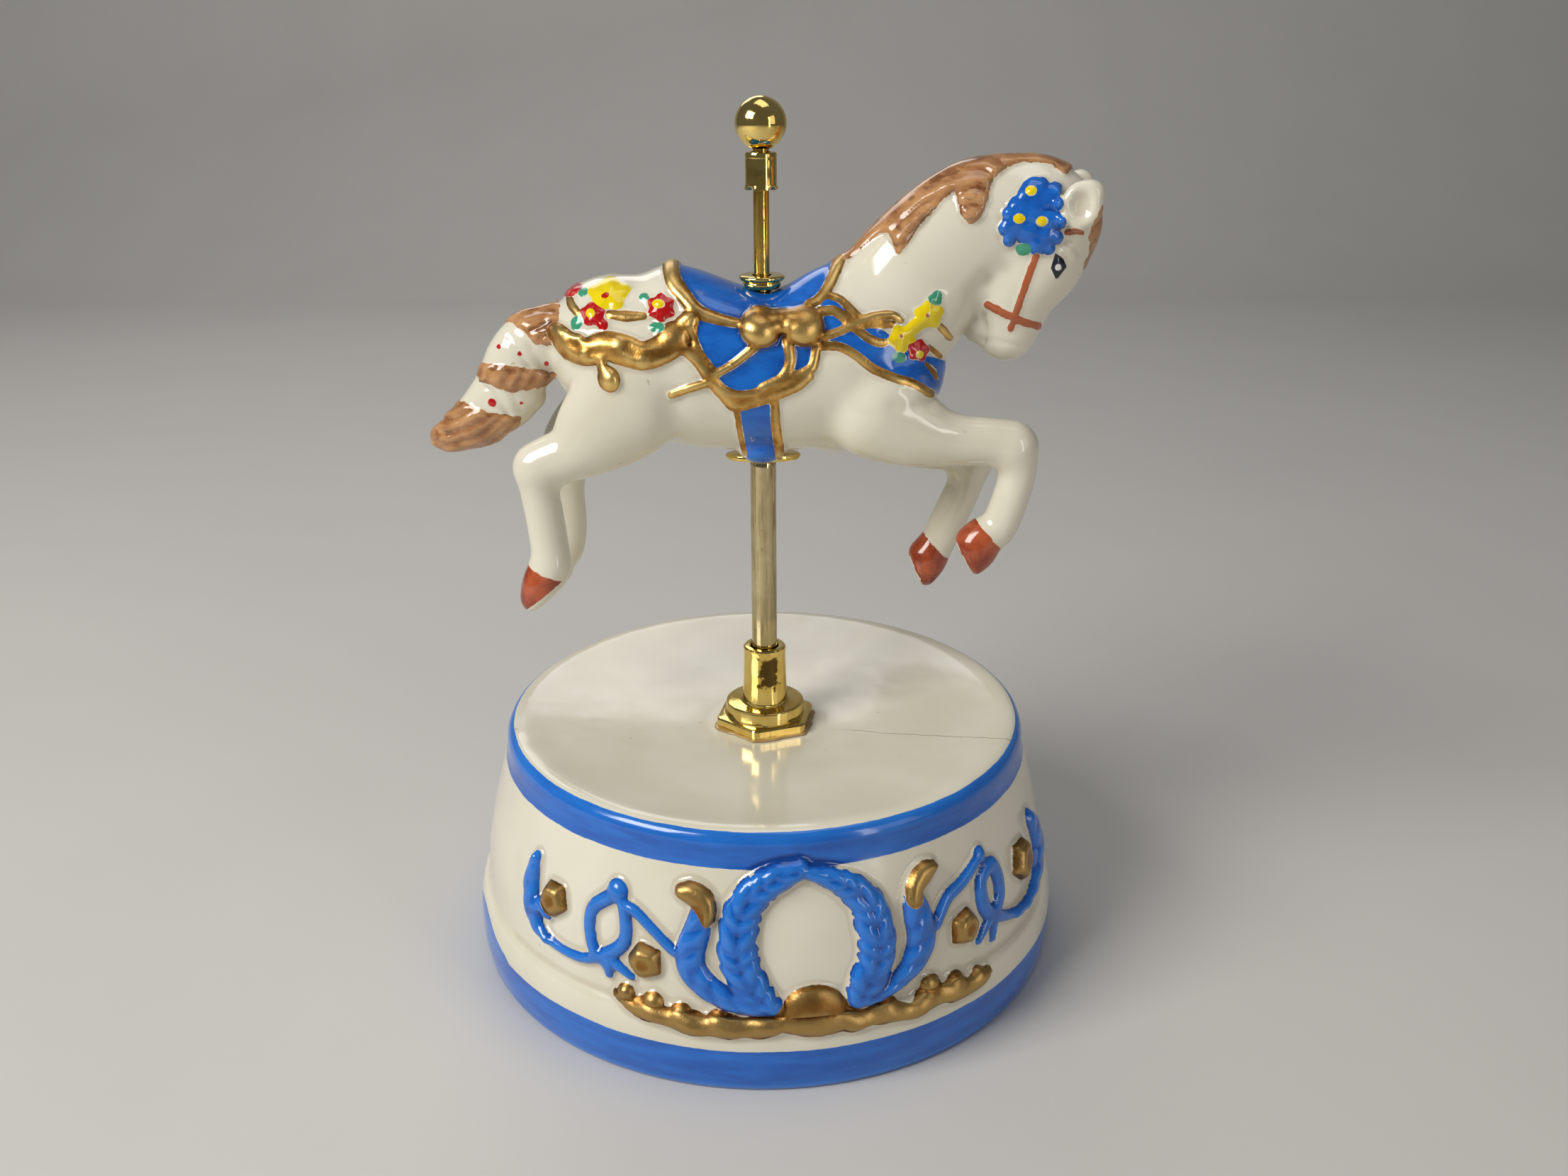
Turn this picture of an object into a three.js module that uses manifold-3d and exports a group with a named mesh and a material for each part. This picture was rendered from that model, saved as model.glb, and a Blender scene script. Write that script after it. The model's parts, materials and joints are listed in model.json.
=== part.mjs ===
// A wind-up carousel-horse music box in glazed porcelain.
// Millimetres, +Z up. The origin is the centre of the foot ring, on the surface that the box stands on.
// The horse leaps towards +X. Its pole, the winding arbor and the key share the Z axis and turn as one.
import * as THREE from "three";
import { mergeVertices } from "three/addons/utils/BufferGeometryUtils.js";
import Module from "manifold-3d";

const wasm = await Module();
wasm.setup();

// ---- driving dimensions ----

const GAP = 0.3; // clearance between neighbouring pieces

// base
const FOOT_RADIUS = 56.2;
const SKIRT_RADIUS = 57.4;
const BEAD_RADIUS = 50;
const BEAD_Z = 43.9;
const TOP_Z = 46.3;
const SEAT_Z = 42.6; // the lid is dished, and this is its low, flat middle
const SEAT_RADIUS = 12;
const CEILING_Z = 38.6;
const POLE_HOLE_RADIUS = 4.5;
const LEDGE_RADIUS = 44.5;
const LEDGE_Z = 13;
const LEDGE_TOP_Z = 19;
const RECESS_RADIUS = 50.6;
const COVER_THICKNESS = 2;
const COVER_RADIUS = 50;
const PLUG_CIRCLE = 48;

// pole and fittings
const ROD_RADIUS = 1.4;
const ROD_BORE = 1.75;
const ROD_BOTTOM_Z = 34.4;
const TUBE_RADIUS = 2.4;
const TUBE_BOTTOM_Z = 44.6;
const BELLY_Z = 97.4; // underside of the horse where the pole enters
const SEAT_TOP_Z = 126.9; // top of the saddle where the pole leaves
const FLANGE_THICKNESS = 0.9;
const COLLAR_RADIUS = 2.75;
const COLLAR_Z = 143.9;
const COLLAR_TOP_Z = 150.2;
const BALL_RADIUS = 4.45;
const BALL_Z = 154.85;
const FERRULE_HEIGHT = 16;
const FERRULE_HEX_RADIUS = 10;
const FERRULE_HEX_HEIGHT = 1.9;
const FERRULE_BOSS_RADIUS = 7.6;
const FERRULE_BOSS_TOP = 4.5;
const FERRULE_CONE_RADIUS = 4.35;
const FERRULE_LIP_RADIUS = 4;
const FERRULE_BORE = 2.7;
const FERRULE_TURN = THREE.MathUtils.degToRad(-11);

// movement
const BEDPLATE_Z = 13;
const BEDPLATE_THICKNESS = 2;
const DECK_Z = BEDPLATE_Z + BEDPLATE_THICKNESS;
const ARBOR_RADIUS = 1.6;
const HOUSING_RADIUS = 13;
const HOUSING_TOP_Z = 24.6;
const SPRING_TURNS = 7;
const CROWN_Z = 25.6;
const CROWN_TEETH = 40;
const CROWN_PITCH_RADIUS = 12.4;
const AXIS_Z = 31.6; // axis of the pinned cylinder
const PINION_TEETH = 10;
const CYLINDER_RADIUS = 6.2;
const CYLINDER_OUTER_X = -33;
const CYLINDER_INNER_X = -16.6;
const PIN_HEIGHT = 0.5;
const NOTES = 18;
const SPINDLE_RADIUS = 0.8;
const SPINDLE_HOLE = 1.1;
const WHEEL_MODULE = 0.4;
const WHEEL_TEETH = 32;
const GOVERNOR_PINION_TEETH = 8;
const GOVERNOR_AXIS_ANGLE = THREE.MathUtils.degToRad(210);
const GOVERNOR_WHEEL_TEETH = 20;
const GOVERNOR_WHEEL_RADIUS = 3.6; // pitch radius
const WORM_RADIUS = 1.3; // pitch radius
const WORM_X = -37.55;
// turn of the pinion and shift of the thread that bring each into mesh
const GOVERNOR_PINION_TURN = THREE.MathUtils.degToRad(7.5);
const WORM_PHASE = 0.75;
const FAN_RADIUS = 2.9;
const COVER_BOTTOM_Z = LEDGE_Z - GAP - COVER_THICKNESS;

// places worked out from those
const WHEEL_PITCH_RADIUS = (WHEEL_MODULE * WHEEL_TEETH) / 2;
const CENTRE_DISTANCE = WHEEL_PITCH_RADIUS + (WHEEL_MODULE * GOVERNOR_PINION_TEETH) / 2;
const GOVERNOR_Y = CENTRE_DISTANCE * Math.cos(GOVERNOR_AXIS_ANGLE);
const GOVERNOR_Z = AXIS_Z + CENTRE_DISTANCE * Math.sin(GOVERNOR_AXIS_ANGLE);
const WORM_Y = GOVERNOR_Y - GOVERNOR_WHEEL_RADIUS - WORM_RADIUS;
const WORM_PITCH = (2 * Math.PI * GOVERNOR_WHEEL_RADIUS) / GOVERNOR_WHEEL_TEETH;
const MOVEMENT_SCREWS = [
  [-26, 16],
  [-20, -9.6],
  [9.5, 17],
];

const FLANGE_HALF_LENGTH = 6.9;
const FLANGE_HALF_WIDTH = 3.4;
const FLANGE_POCKET = 0.6; // clearance round the flange in the horse's belly

const SCREW_HEAD_HEIGHT = 1;
const SCREW_SLOT_WIDTH = 0.5;
const PLUG_RADIUS = 2.1;
const PLUG_HOLE_RADIUS = 2.5;
const PLUG_BORE = 1.15;
const COVER_KEY_HOLE = 4.2;
const COVER_SCREW_HOLE = 1.3;
const COVER_MOVEMENT_HOLE = 1.5;
const COVER_SCREW_HEAD_Z = 9.4;
const BUSHING_FLANGE_RADIUS = 6;
const GLUE_WIDTH = 0.75;
const GLUE_HEIGHT = 0.6;

const KEY_HUB_RADIUS = 3;
const KEY_HUB_Z = 3.2;
const KEY_WING_X = 7.2; // centre of each wing
const KEY_WING_RADIUS = 3.9;
const KEY_HOLE_RADIUS = 1.9;
const KEY_WAIST = 1.9;
const KEY_Z = 5.2; // middle of the wings
const KEY_HALF_THICKNESS = 0.8;

const ARBOR_Z = 2.6;
const ARBOR_BEAD_RADIUS = 2.4;
const COUPLING_RADIUS = 3.2;
const COUPLING_Z = 30.6;
const WHEEL_CLEARANCE = 0.3; // between the arbor and what is fixed on it
const CROWN_RIM_RADIUS = 14;
const CROWN_RIM_INNER = 10.6;
const CROWN_HUB_RADIUS = 4;
const CROWN_WEB = 1;
const CROWN_TOOTH_HEIGHT = 1.3;
const WASHER_RADIUS = 4.4;
const WASHER_LOW_Z = 24.9;
const WASHER_HIGH_Z = 25.3;
const WASHER_FINGER_RADIUS = 8.2;
const HOUSING_WALL = 0.8;
const HOUSING_HOLE = 2.3;
const SPRING_INNER = 2.9;
const SPRING_THICKNESS = 0.35;

const BEDPLATE_OUTLINE = [
  [14, -12],
  [14, 21],
  [-35.5, 21],
  [-35.5, 5],
  [-40, 5],
  [-40, -16],
  [-33, -16],
  [-31, -12],
];
const PEDESTAL = { x0: -34, x1: -16.8, y0: 12.6, y1: 21 };
const COMB_SCREWS = [
  [-29.4, 17.6],
  [-20.2, 17.6],
];
const BRACKET_SCREWS = [
  [-18.2, 0],
  [-33.6, 0],
  [-34.8, -13],
];
const BRACKET_HOLE = 1.1;
const COMB_BACK_Y = 20.6;
const COMB_SLOT_Y = 14.2; // root of the longest gap between teeth
const COMB_THICKNESS = 0.9;
const TRACK_MARGIN = 0.4;
const SPINDLE_ENDS = [-38.6, -10.6];
const PINION_ENDS = [-13.8, -11.1];
const WHEEL_ENDS = [-36, -34.6];
const FRAME_X = [-39.9, -33.4];
const FRAME_BACK_Y = -15.8;
const FRAME_TOP_Z = 38;
const FRAME_SHEET = 0.6;
const GOVERNOR_SPINDLE_RADIUS = 0.5;
const GOVERNOR_WHEEL_ENDS = [-38.1, -37];
const WORM_ENDS = [25.2, 30];
const WORM_THREAD = 0.34;
const FAN_HUB_RADIUS = 1.1;
const FAN_HUB_ENDS = [32.2, 35.8];
const FAN_ENDS = [32.4, 35.6];

// ---- materials ----

const finish = (color, roughness, metalness) =>
  new THREE.MeshStandardMaterial({ color, roughness, metalness });
const glaze = () => finish(0xe3decf, 0.12, 0);
const brass = () => finish(0xc9a44c, 0.25, 1);
const wornNickel = () => finish(0xa79f86, 0.35, 1);
const steel = () => finish(0x8c9096, 0.3, 1);
const zinc = () => finish(0x9ea1a3, 0.5, 1);
const nylon = () => finish(0xe8e6de, 0.5, 0);
const coverPlastic = () => finish(0x5a4a3a, 0.85, 0);
const adhesive = () => finish(0xc9ad62, 0.3, 0);

// ---- shape helpers ----

const group = new THREE.Group();

function add(name, geometry, material) {
  const mesh = new THREE.Mesh(geometry, material);
  mesh.name = name;
  group.add(mesh);
}

function solid(geometry) {
  const bare = geometry.clone();
  bare.deleteAttribute("normal");
  bare.deleteAttribute("uv");
  const merged = mergeVertices(bare, 1e-4);
  return new wasm.Manifold(
    new wasm.Mesh({
      numProp: 3,
      vertProperties: new Float32Array(merged.attributes.position.array),
      triVerts: new Uint32Array(merged.index.array),
    }),
  );
}

function geometryOf(manifold) {
  const mesh = manifold.getMesh();
  const geometry = new THREE.BufferGeometry();
  geometry.setAttribute("position", new THREE.BufferAttribute(mesh.vertProperties, 3));
  geometry.setIndex(new THREE.BufferAttribute(mesh.triVerts, 1));
  geometry.computeVertexNormals();
  return geometry;
}

function join(...pieces) {
  return pieces.map(solid).reduce((sum, piece) => sum.add(piece));
}

function cut(body, ...holes) {
  return geometryOf(holes.map(solid).reduce((rest, hole) => rest.subtract(hole), body));
}

// Turned solid from a profile of [radius, z] points that closes on itself or ends on the axis.
function turned(profile, segments = 20) {
  const points = profile.map(([r, z]) => new THREE.Vector2(r, z));
  return new THREE.LatheGeometry(points, segments).rotateX(Math.PI / 2);
}

// Cylinder from z = low to z = high round a vertical axis through x, y.
function post(radius, low, high, x = 0, y = 0, segments = 16) {
  return new THREE.CylinderGeometry(radius, radius, high - low, segments)
    .rotateX(Math.PI / 2)
    .translate(x, y, (low + high) / 2);
}

// Cylinder from x = low to x = high round an axis along X through y, z.
function bar(radius, low, high, y, z, segments = 12) {
  return new THREE.CylinderGeometry(radius, radius, high - low, segments)
    .rotateZ(Math.PI / 2)
    .translate((low + high) / 2, y, z);
}

function block(x0, x1, y0, y1, z0, z1) {
  return new THREE.BoxGeometry(x1 - x0, y1 - y0, z1 - z0).translate(
    (x0 + x1) / 2,
    (y0 + y1) / 2,
    (z0 + z1) / 2,
  );
}

// Plate with the given outline, from z = low to z = high.
function plate(shape, low, high) {
  const options = { depth: high - low, bevelEnabled: false, curveSegments: 8 };
  return new THREE.ExtrudeGeometry(shape, options).translate(0, 0, low);
}

function outline(points) {
  return new THREE.Shape(points.map(([x, y]) => new THREE.Vector2(x, y)));
}

// Ring of revolution between two radii.
function ring(inner, outer, low, high, segments = 16) {
  return turned(
    [
      [inner, low],
      [outer, low],
      [outer, high],
      [inner, high],
      [inner, low],
    ],
    segments,
  );
}

// Elliptical plate round the origin, its long axis along X.
function oval(halfLength, halfWidth, low, high) {
  return post(1, low, high, 0, 0, 28).scale(halfLength, halfWidth, 1);
}

// Spur gear outline with straight-flanked teeth, one tooth centred on the first axis.
function gearShape(teeth, rootRadius, tipRadius, rootShare, tipShare) {
  const shape = new THREE.Shape();
  const step = (2 * Math.PI) / teeth;
  const corners = [
    [rootRadius, -rootShare / 2],
    [tipRadius, -tipShare / 2],
    [tipRadius, tipShare / 2],
    [rootRadius, rootShare / 2],
  ];
  for (let i = 0; i < teeth; i += 1) {
    for (const [radius, share] of corners) {
      const angle = (i + share) * step;
      const x = radius * Math.cos(angle);
      const y = radius * Math.sin(angle);
      if (i === 0 && share === -rootShare / 2 && radius === rootRadius) shape.moveTo(x, y);
      else shape.lineTo(x, y);
    }
  }
  shape.closePath();
  return shape;
}

// Gear on an axis along X: the outline's first axis turns to point down and its second to +Y.
function gearAlongX(shape, low, high, y, z, turn) {
  return plate(shape, 0, high - low)
    .rotateZ(turn)
    .applyMatrix4(
      new THREE.Matrix4().makeBasis(
        new THREE.Vector3(0, 0, -1),
        new THREE.Vector3(0, -1, 0),
        new THREE.Vector3(-1, 0, 0),
      ),
    )
    .translate(high, y, z);
}

// Screw seen from below: head at the bottom, shank upwards, a cross slot in the head.
function screwFromBelow(x, y, headLow, headRadius, shankRadius, tipZ) {
  const headHigh = headLow + SCREW_HEAD_HEIGHT;
  const half = SCREW_SLOT_WIDTH / 2;
  const body = join(
    post(headRadius, headLow, headHigh, x, y, 12),
    post(shankRadius, headHigh - 0.2, tipZ, x, y, 8),
  );
  const slot = headRadius * 0.7;
  return cut(
    body,
    block(x - slot, x + slot, y - half, y + half, headLow - 1, headLow + 0.45),
    block(x - half, x + half, y - slot, y + slot, headLow - 1, headLow + 0.45),
  );
}

// Screw seen from above: head at the top with one straight slot.
function screwFromAbove(x, y, headHigh, headRadius, shankRadius, tipZ) {
  const headLow = headHigh - SCREW_HEAD_HEIGHT;
  const body = join(
    post(headRadius, headLow, headHigh, x, y, 12),
    post(shankRadius, tipZ, headLow + 0.2, x, y, 8),
  );
  return cut(body, block(x - 5, x + 5, y - 0.3, y + 0.3, headHigh - 0.5, headHigh + 1));
}

// Limb swept through stations [x, z, half thickness, half width] at one y, with round ends.
function limb(y, stations, around = 8) {
  const centres = new THREE.CatmullRomCurve3(stations.map(([x, z]) => new THREE.Vector3(x, 0, z)));
  const sizes = new THREE.CatmullRomCurve3(
    stations.map(([, , thick, wide]) => new THREE.Vector3(thick, wide, 0)),
  );
  const rows = (stations.length - 1) * 2;
  const half = 1;
  const geometry = new THREE.CapsuleGeometry(1, 2 * half, 2, around, rows);
  const position = geometry.attributes.position;
  const side = new THREE.Vector3(0, 1, 0);
  for (let i = 0; i < position.count; i += 1) {
    const along = position.getY(i);
    const share = THREE.MathUtils.clamp((along / half + 1) / 2, 0, 1);
    const past = along - THREE.MathUtils.clamp(along, -half, half);
    const tangent = centres.getTangent(share);
    const normal = new THREE.Vector3().crossVectors(tangent, side);
    const size = sizes.getPoint(share);
    const point = centres
      .getPoint(share)
      .addScaledVector(tangent, past * size.x)
      .addScaledVector(normal, position.getX(i) * size.x)
      .addScaledVector(side, position.getZ(i) * size.y);
    position.setXYZ(i, point.x, point.y + y, point.z);
  }
  return geometry;
}

// ---- base ----

function baseShell() {
  const lid = new THREE.QuadraticBezierCurve(
    new THREE.Vector2(SEAT_RADIUS, SEAT_Z),
    new THREE.Vector2(36, SEAT_Z + 1.6),
    new THREE.Vector2(46.2, TOP_Z - 0.1),
  );
  const bead = new THREE.CubicBezierCurve(
    new THREE.Vector2(47.6, TOP_Z),
    new THREE.Vector2(49.4, TOP_Z - 0.2),
    new THREE.Vector2(BEAD_RADIUS, BEAD_Z + 0.9),
    new THREE.Vector2(BEAD_RADIUS, BEAD_Z - 0.6),
  );
  const wall = new THREE.SplineCurve([
    new THREE.Vector2(50.3, 40.7),
    new THREE.Vector2(51.3, 37),
    new THREE.Vector2(53.6, 28.2),
    new THREE.Vector2(54.8, 21.9),
    new THREE.Vector2(55.6, 14.6),
  ]);
  const skirt = new THREE.SplineCurve([
    new THREE.Vector2(56.5, 13.4),
    new THREE.Vector2(SKIRT_RADIUS, 9),
    new THREE.Vector2(SKIRT_RADIUS, 4.5),
    new THREE.Vector2(FOOT_RADIUS + 0.7, 1),
    new THREE.Vector2(FOOT_RADIUS, 0),
  ]);
  const curved = [...lid.getPoints(2), ...bead.getPoints(3), ...wall.getPoints(3), ...skirt.getPoints(4)];
  const profile = [
    [POLE_HOLE_RADIUS, SEAT_Z],
    ...curved.map((p) => [p.x, p.y]),
    [RECESS_RADIUS + 1, 0],
    [RECESS_RADIUS, 1],
    [RECESS_RADIUS, LEDGE_Z],
    [LEDGE_RADIUS, LEDGE_Z],
    [LEDGE_RADIUS, LEDGE_TOP_Z],
    [51.2, LEDGE_TOP_Z],
    [49, 28],
    [46.6, 36.5],
    [44.6, 40.4],
    [40, 41.6],
    [SEAT_RADIUS, CEILING_Z],
    [POLE_HOLE_RADIUS, CEILING_Z],
    [POLE_HOLE_RADIUS, SEAT_Z],
  ];
  const plugHoles = plugPlaces().map(([x, y]) =>
    post(PLUG_HOLE_RADIUS, LEDGE_Z - 2, LEDGE_TOP_Z - 1, x, y, 10),
  );
  return cut(solid(turned(profile.reverse(), 44)), ...plugHoles);
}

function plugPlaces() {
  return [30, 150, 270].map((degrees) => {
    const angle = THREE.MathUtils.degToRad(degrees);
    return [PLUG_CIRCLE * Math.cos(angle), PLUG_CIRCLE * Math.sin(angle)];
  });
}

function screwPlug([x, y]) {
  const body = solid(post(PLUG_RADIUS, LEDGE_Z + 0.1, LEDGE_TOP_Z - 1.4, x, y, 10));
  return cut(body, post(PLUG_BORE, LEDGE_Z - 1, LEDGE_TOP_Z, x, y, 8));
}

function bottomCover() {
  const low = COVER_BOTTOM_Z;
  const high = low + COVER_THICKNESS;
  const plugHoles = plugPlaces().map(([x, y]) => post(COVER_SCREW_HOLE, low - 1, high + 1, x, y, 8));
  const movementHoles = MOVEMENT_SCREWS.map(([x, y]) =>
    post(COVER_MOVEMENT_HOLE, low - 1, high + 1, x, y, 8),
  );
  return cut(
    solid(post(COVER_RADIUS, low, high, 0, 0, 40)),
    post(COVER_KEY_HOLE, low - 1, high + 1),
    ...plugHoles,
    ...movementHoles,
  );
}

// Flanged bush in the hole of the lid, inserted from below.
function poleBushing() {
  return turned([
    [ROD_BORE, CEILING_Z - 1],
    [BUSHING_FLANGE_RADIUS, CEILING_Z - 1],
    [BUSHING_FLANGE_RADIUS, CEILING_Z - GAP],
    [POLE_HOLE_RADIUS - GAP, CEILING_Z - GAP],
    [POLE_HOLE_RADIUS - GAP, SEAT_Z],
    [ROD_BORE, SEAT_Z],
    [ROD_BORE, CEILING_Z - 1],
  ]);
}

function hexagon(radius) {
  const shape = new THREE.Shape();
  for (let i = 0; i < 6; i += 1) {
    const angle = (i * Math.PI) / 3 - Math.PI / 2;
    const x = radius * Math.cos(angle);
    const y = radius * Math.sin(angle);
    if (i === 0) shape.moveTo(x, y);
    else shape.lineTo(x, y);
  }
  shape.closePath();
  return shape;
}

function baseFerrule() {
  const foot = SEAT_Z + GAP;
  const bossTop = foot + FERRULE_BOSS_TOP;
  const top = foot + FERRULE_HEIGHT;
  const hex = plate(hexagon(FERRULE_HEX_RADIUS), foot, foot + FERRULE_HEX_HEIGHT).rotateZ(FERRULE_TURN);
  const cone = turned([
    [0, foot + 0.2],
    [FERRULE_BOSS_RADIUS, foot + 0.2],
    [FERRULE_BOSS_RADIUS, bossTop - 0.5],
    [FERRULE_BOSS_RADIUS - 0.6, bossTop],
    [FERRULE_CONE_RADIUS + 0.5, bossTop],
    [FERRULE_CONE_RADIUS, bossTop + 0.5],
    [FERRULE_LIP_RADIUS, top - 0.8],
    [FERRULE_LIP_RADIUS - 0.5, top],
    [0, top],
  ]);
  return cut(join(hex, cone), post(FERRULE_BORE, foot - 1, top + 1));
}

// Adhesive squeezed out round the hexagon.
function ferruleGlue() {
  const inner = FERRULE_HEX_RADIUS + 0.35;
  const shape = hexagon(inner + GLUE_WIDTH);
  const hole = hexagon(inner);
  const low = SEAT_Z + 0.2;
  const high = low + GLUE_HEIGHT;
  return cut(solid(plate(shape, low, high)), plate(hole, low - 1, high + 1)).rotateZ(FERRULE_TURN);
}

// ---- pole and its fittings ----

function poleTube() {
  return ring(ROD_BORE, TUBE_RADIUS, TUBE_BOTTOM_Z, BELLY_Z - FLANGE_THICKNESS - 2 * GAP);
}

function bellyFlange() {
  const high = BELLY_Z - GAP;
  const low = high - FLANGE_THICKNESS;
  const body = solid(oval(FLANGE_HALF_LENGTH, FLANGE_HALF_WIDTH, low, high));
  return cut(body, post(ROD_BORE, low - 1, high + 1));
}

function saddleFerrule() {
  const low = SEAT_TOP_Z + GAP;
  return turned([
    [ROD_BORE, low],
    [3.1, low],
    [3.4, low + 0.8],
    [3.2, low + 1.4],
    [4, low + 1.5],
    [4.1, low + 2],
    [3.8, low + 2.3],
    [ROD_BORE, low + 2.3],
    [ROD_BORE, low],
  ]);
}

// Sleeve under the ball, its lower edge notched to leave four small feet.
function finialCollar() {
  const sleeve = turned([
    [ROD_BORE, COLLAR_Z],
    [COLLAR_RADIUS + 0.2, COLLAR_Z],
    [COLLAR_RADIUS, COLLAR_Z + 0.8],
    [COLLAR_RADIUS, COLLAR_TOP_Z],
    [ROD_BORE, COLLAR_TOP_Z],
    [ROD_BORE, COLLAR_Z],
  ]);
  const notches = [0, 1].map((i) =>
    block(-5, 5, -1.1, 1.1, COLLAR_Z - 1, COLLAR_Z + 0.6).rotateZ(Math.PI / 4 + (i * Math.PI) / 2),
  );
  return cut(solid(sleeve), ...notches);
}

function finialBall() {
  const ball = new THREE.SphereGeometry(BALL_RADIUS, 16, 10).rotateX(Math.PI / 2).translate(0, 0, BALL_Z);
  return cut(solid(ball), post(ROD_BORE, BALL_Z - 6, BALL_Z - 1));
}

// ---- horse ----

const LEG_Y = 8.5; // legs stand this far either side of the centre plane

const hoof = (y, ankle, toe) =>
  limb(y, [
    [...ankle, 3.5, 3.4],
    [(ankle[0] + toe[0]) / 2, (ankle[1] + toe[1]) / 2, 3.9, 3.9],
    [...toe, 2, 2.6],
  ]);

function horse() {
  const trunk = limb(0, [
    [-25, 114.5, 13.5, 11.5],
    [-18, 114, 15, 13.5],
    [-6, 112, 13.8, 14],
    [6, 112, 13.5, 13.6],
    [17, 111.5, 14.2, 12.8],
    [22, 111, 12, 11],
  ], 12);
  const rump = limb(0, [
    [-27, 118, 10.5, 10],
    [-22, 118.5, 11.2, 11],
  ], 12);
  const neck = limb(0, [
    [17, 121, 13, 11],
    [24, 128, 13.3, 9],
    [31.5, 134, 13, 7.6],
    [39, 139, 11.2, 7.2],
  ], 12);
  const head = limb(0, [
    [47.8, 139, 9.6, 7.4],
    [48, 133.5, 9, 7.6],
    [46, 127, 7.6, 6.6],
    [43.8, 121.6, 6.2, 5.4],
    [43, 119.2, 5, 4.8],
  ], 10);
  const brow = limb(0, [
    [49.6, 138.6, 8.6, 6.2],
    [50.4, 137.4, 8.6, 6.2],
  ]);
  const tail = limb(0, [
    [-33, 119.5, 5.2, 4.8],
    [-39, 118.6, 5.8, 5],
    [-43.2, 114.8, 6, 5],
    [-45.8, 110.2, 6, 4.8],
    [-48.6, 106, 5.2, 4.2],
    [-52.2, 102.9, 4, 3.4],
    [-57.6, 100.6, 2, 2],
  ]);
  const ears = [-5, 5].map((y) =>
    limb(y, [
      [51, 143.2, 2.8, 1.8],
      [54, 143.4, 2.7, 1.6],
      [56.4, 143, 1.4, 1],
    ], 6),
  );
  const saddle = limb(0, [
    [-15.6, 122.4, 8, 9.6],
    [-11, 121, 8.3, 11.4],
    [0, 118.6, 8.4, 12.4],
    [9.5, 121, 8.4, 10.6],
    [12.5, 122.8, 8.2, 8],
  ], 12);
  const nearHind = [
    limb(-LEG_Y, [
      [-23, 109.5, 10, 5],
      [-29.5, 104, 7.2, 5],
      [-35.3, 99.5, 5, 4.2],
      [-39.4, 97.4, 4.2, 3.7],
    ]),
    limb(-LEG_Y, [
      [-40, 97.2, 4.1, 3.7],
      [-39.6, 90.6, 3.5, 3.3],
      [-38.9, 84.8, 3.4, 3.2],
      [-38.8, 80, 3.5, 3.3],
    ]),
    hoof(-LEG_Y, [-39.2, 78.4], [-41, 72.2]),
  ];
  const farHind = [
    limb(LEG_Y, [
      [-21, 108.5, 10, 5],
      [-27.5, 103, 7, 5],
      [-33.1, 98.8, 5, 4.2],
      [-37.4, 95.6, 4.2, 3.7],
    ]),
    limb(LEG_Y, [
      [-38, 95.2, 4.1, 3.7],
      [-37.8, 87, 3.5, 3.3],
      [-37.9, 80, 3.4, 3.2],
      [-38.8, 76, 3.5, 3.3],
    ]),
    hoof(LEG_Y, [-39.4, 74.6], [-42, 68.4]),
  ];
  const nearFore = [
    limb(-LEG_Y, [
      [17.5, 107, 9, 5],
      [24, 104, 7, 5],
      [31, 102.2, 5, 4.4],
      [38, 101.4, 4.3, 4],
      [43.6, 100.2, 4.3, 3.8],
    ]),
    limb(-LEG_Y, [
      [44.7, 99.6, 4.2, 3.8],
      [45.2, 94.4, 3.4, 3.3],
      [43.9, 88.8, 3.4, 3.2],
      [42.4, 84.8, 3.4, 3.2],
    ]),
    hoof(-LEG_Y, [41, 83.6], [38.6, 78.4]),
  ];
  const farFore = [
    limb(LEG_Y, [
      [17, 106, 9, 5],
      [24, 100.5, 6.4, 5],
      [31, 97.4, 4.8, 4.4],
      [37.6, 95.6, 4.3, 3.9],
    ]),
    limb(LEG_Y, [
      [39, 94.8, 4.1, 3.7],
      [38.4, 87.6, 3.4, 3.2],
      [36.2, 81.4, 3.3, 3.1],
      [34.8, 78.4, 3.3, 3.1],
    ]),
    hoof(LEG_Y, [33.4, 76.8], [31.2, 70.4]),
  ];
  const body = join(
    trunk,
    rump,
    neck,
    head,
    brow,
    tail,
    ...ears,
    saddle,
    ...nearHind,
    ...farHind,
    ...nearFore,
    ...farFore,
  );
  return cut(
    body,
    post(ROD_BORE, 90, 135),
    oval(FLANGE_HALF_LENGTH + FLANGE_POCKET, FLANGE_HALF_WIDTH + FLANGE_POCKET, 90, BELLY_Z),
    post(4.6, SEAT_TOP_Z, 135),
  );
}

// ---- winding train ----

function windingArbor() {
  return turned([
    [0, ARBOR_Z],
    [ARBOR_RADIUS, ARBOR_Z],
    [ARBOR_RADIUS, DECK_Z + 0.8],
    [ARBOR_BEAD_RADIUS, DECK_Z + 1.2],
    [ARBOR_BEAD_RADIUS, HOUSING_TOP_Z - 1.4],
    [ARBOR_RADIUS, HOUSING_TOP_Z - 1],
    [ARBOR_RADIUS, ROD_BOTTOM_Z - GAP],
    [0, ROD_BOTTOM_Z - GAP],
  ], 20);
}

function arborCoupling() {
  return ring(ARBOR_RADIUS + WHEEL_CLEARANCE, COUPLING_RADIUS, COUPLING_Z, CEILING_Z - 1.3, 24);
}

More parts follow.
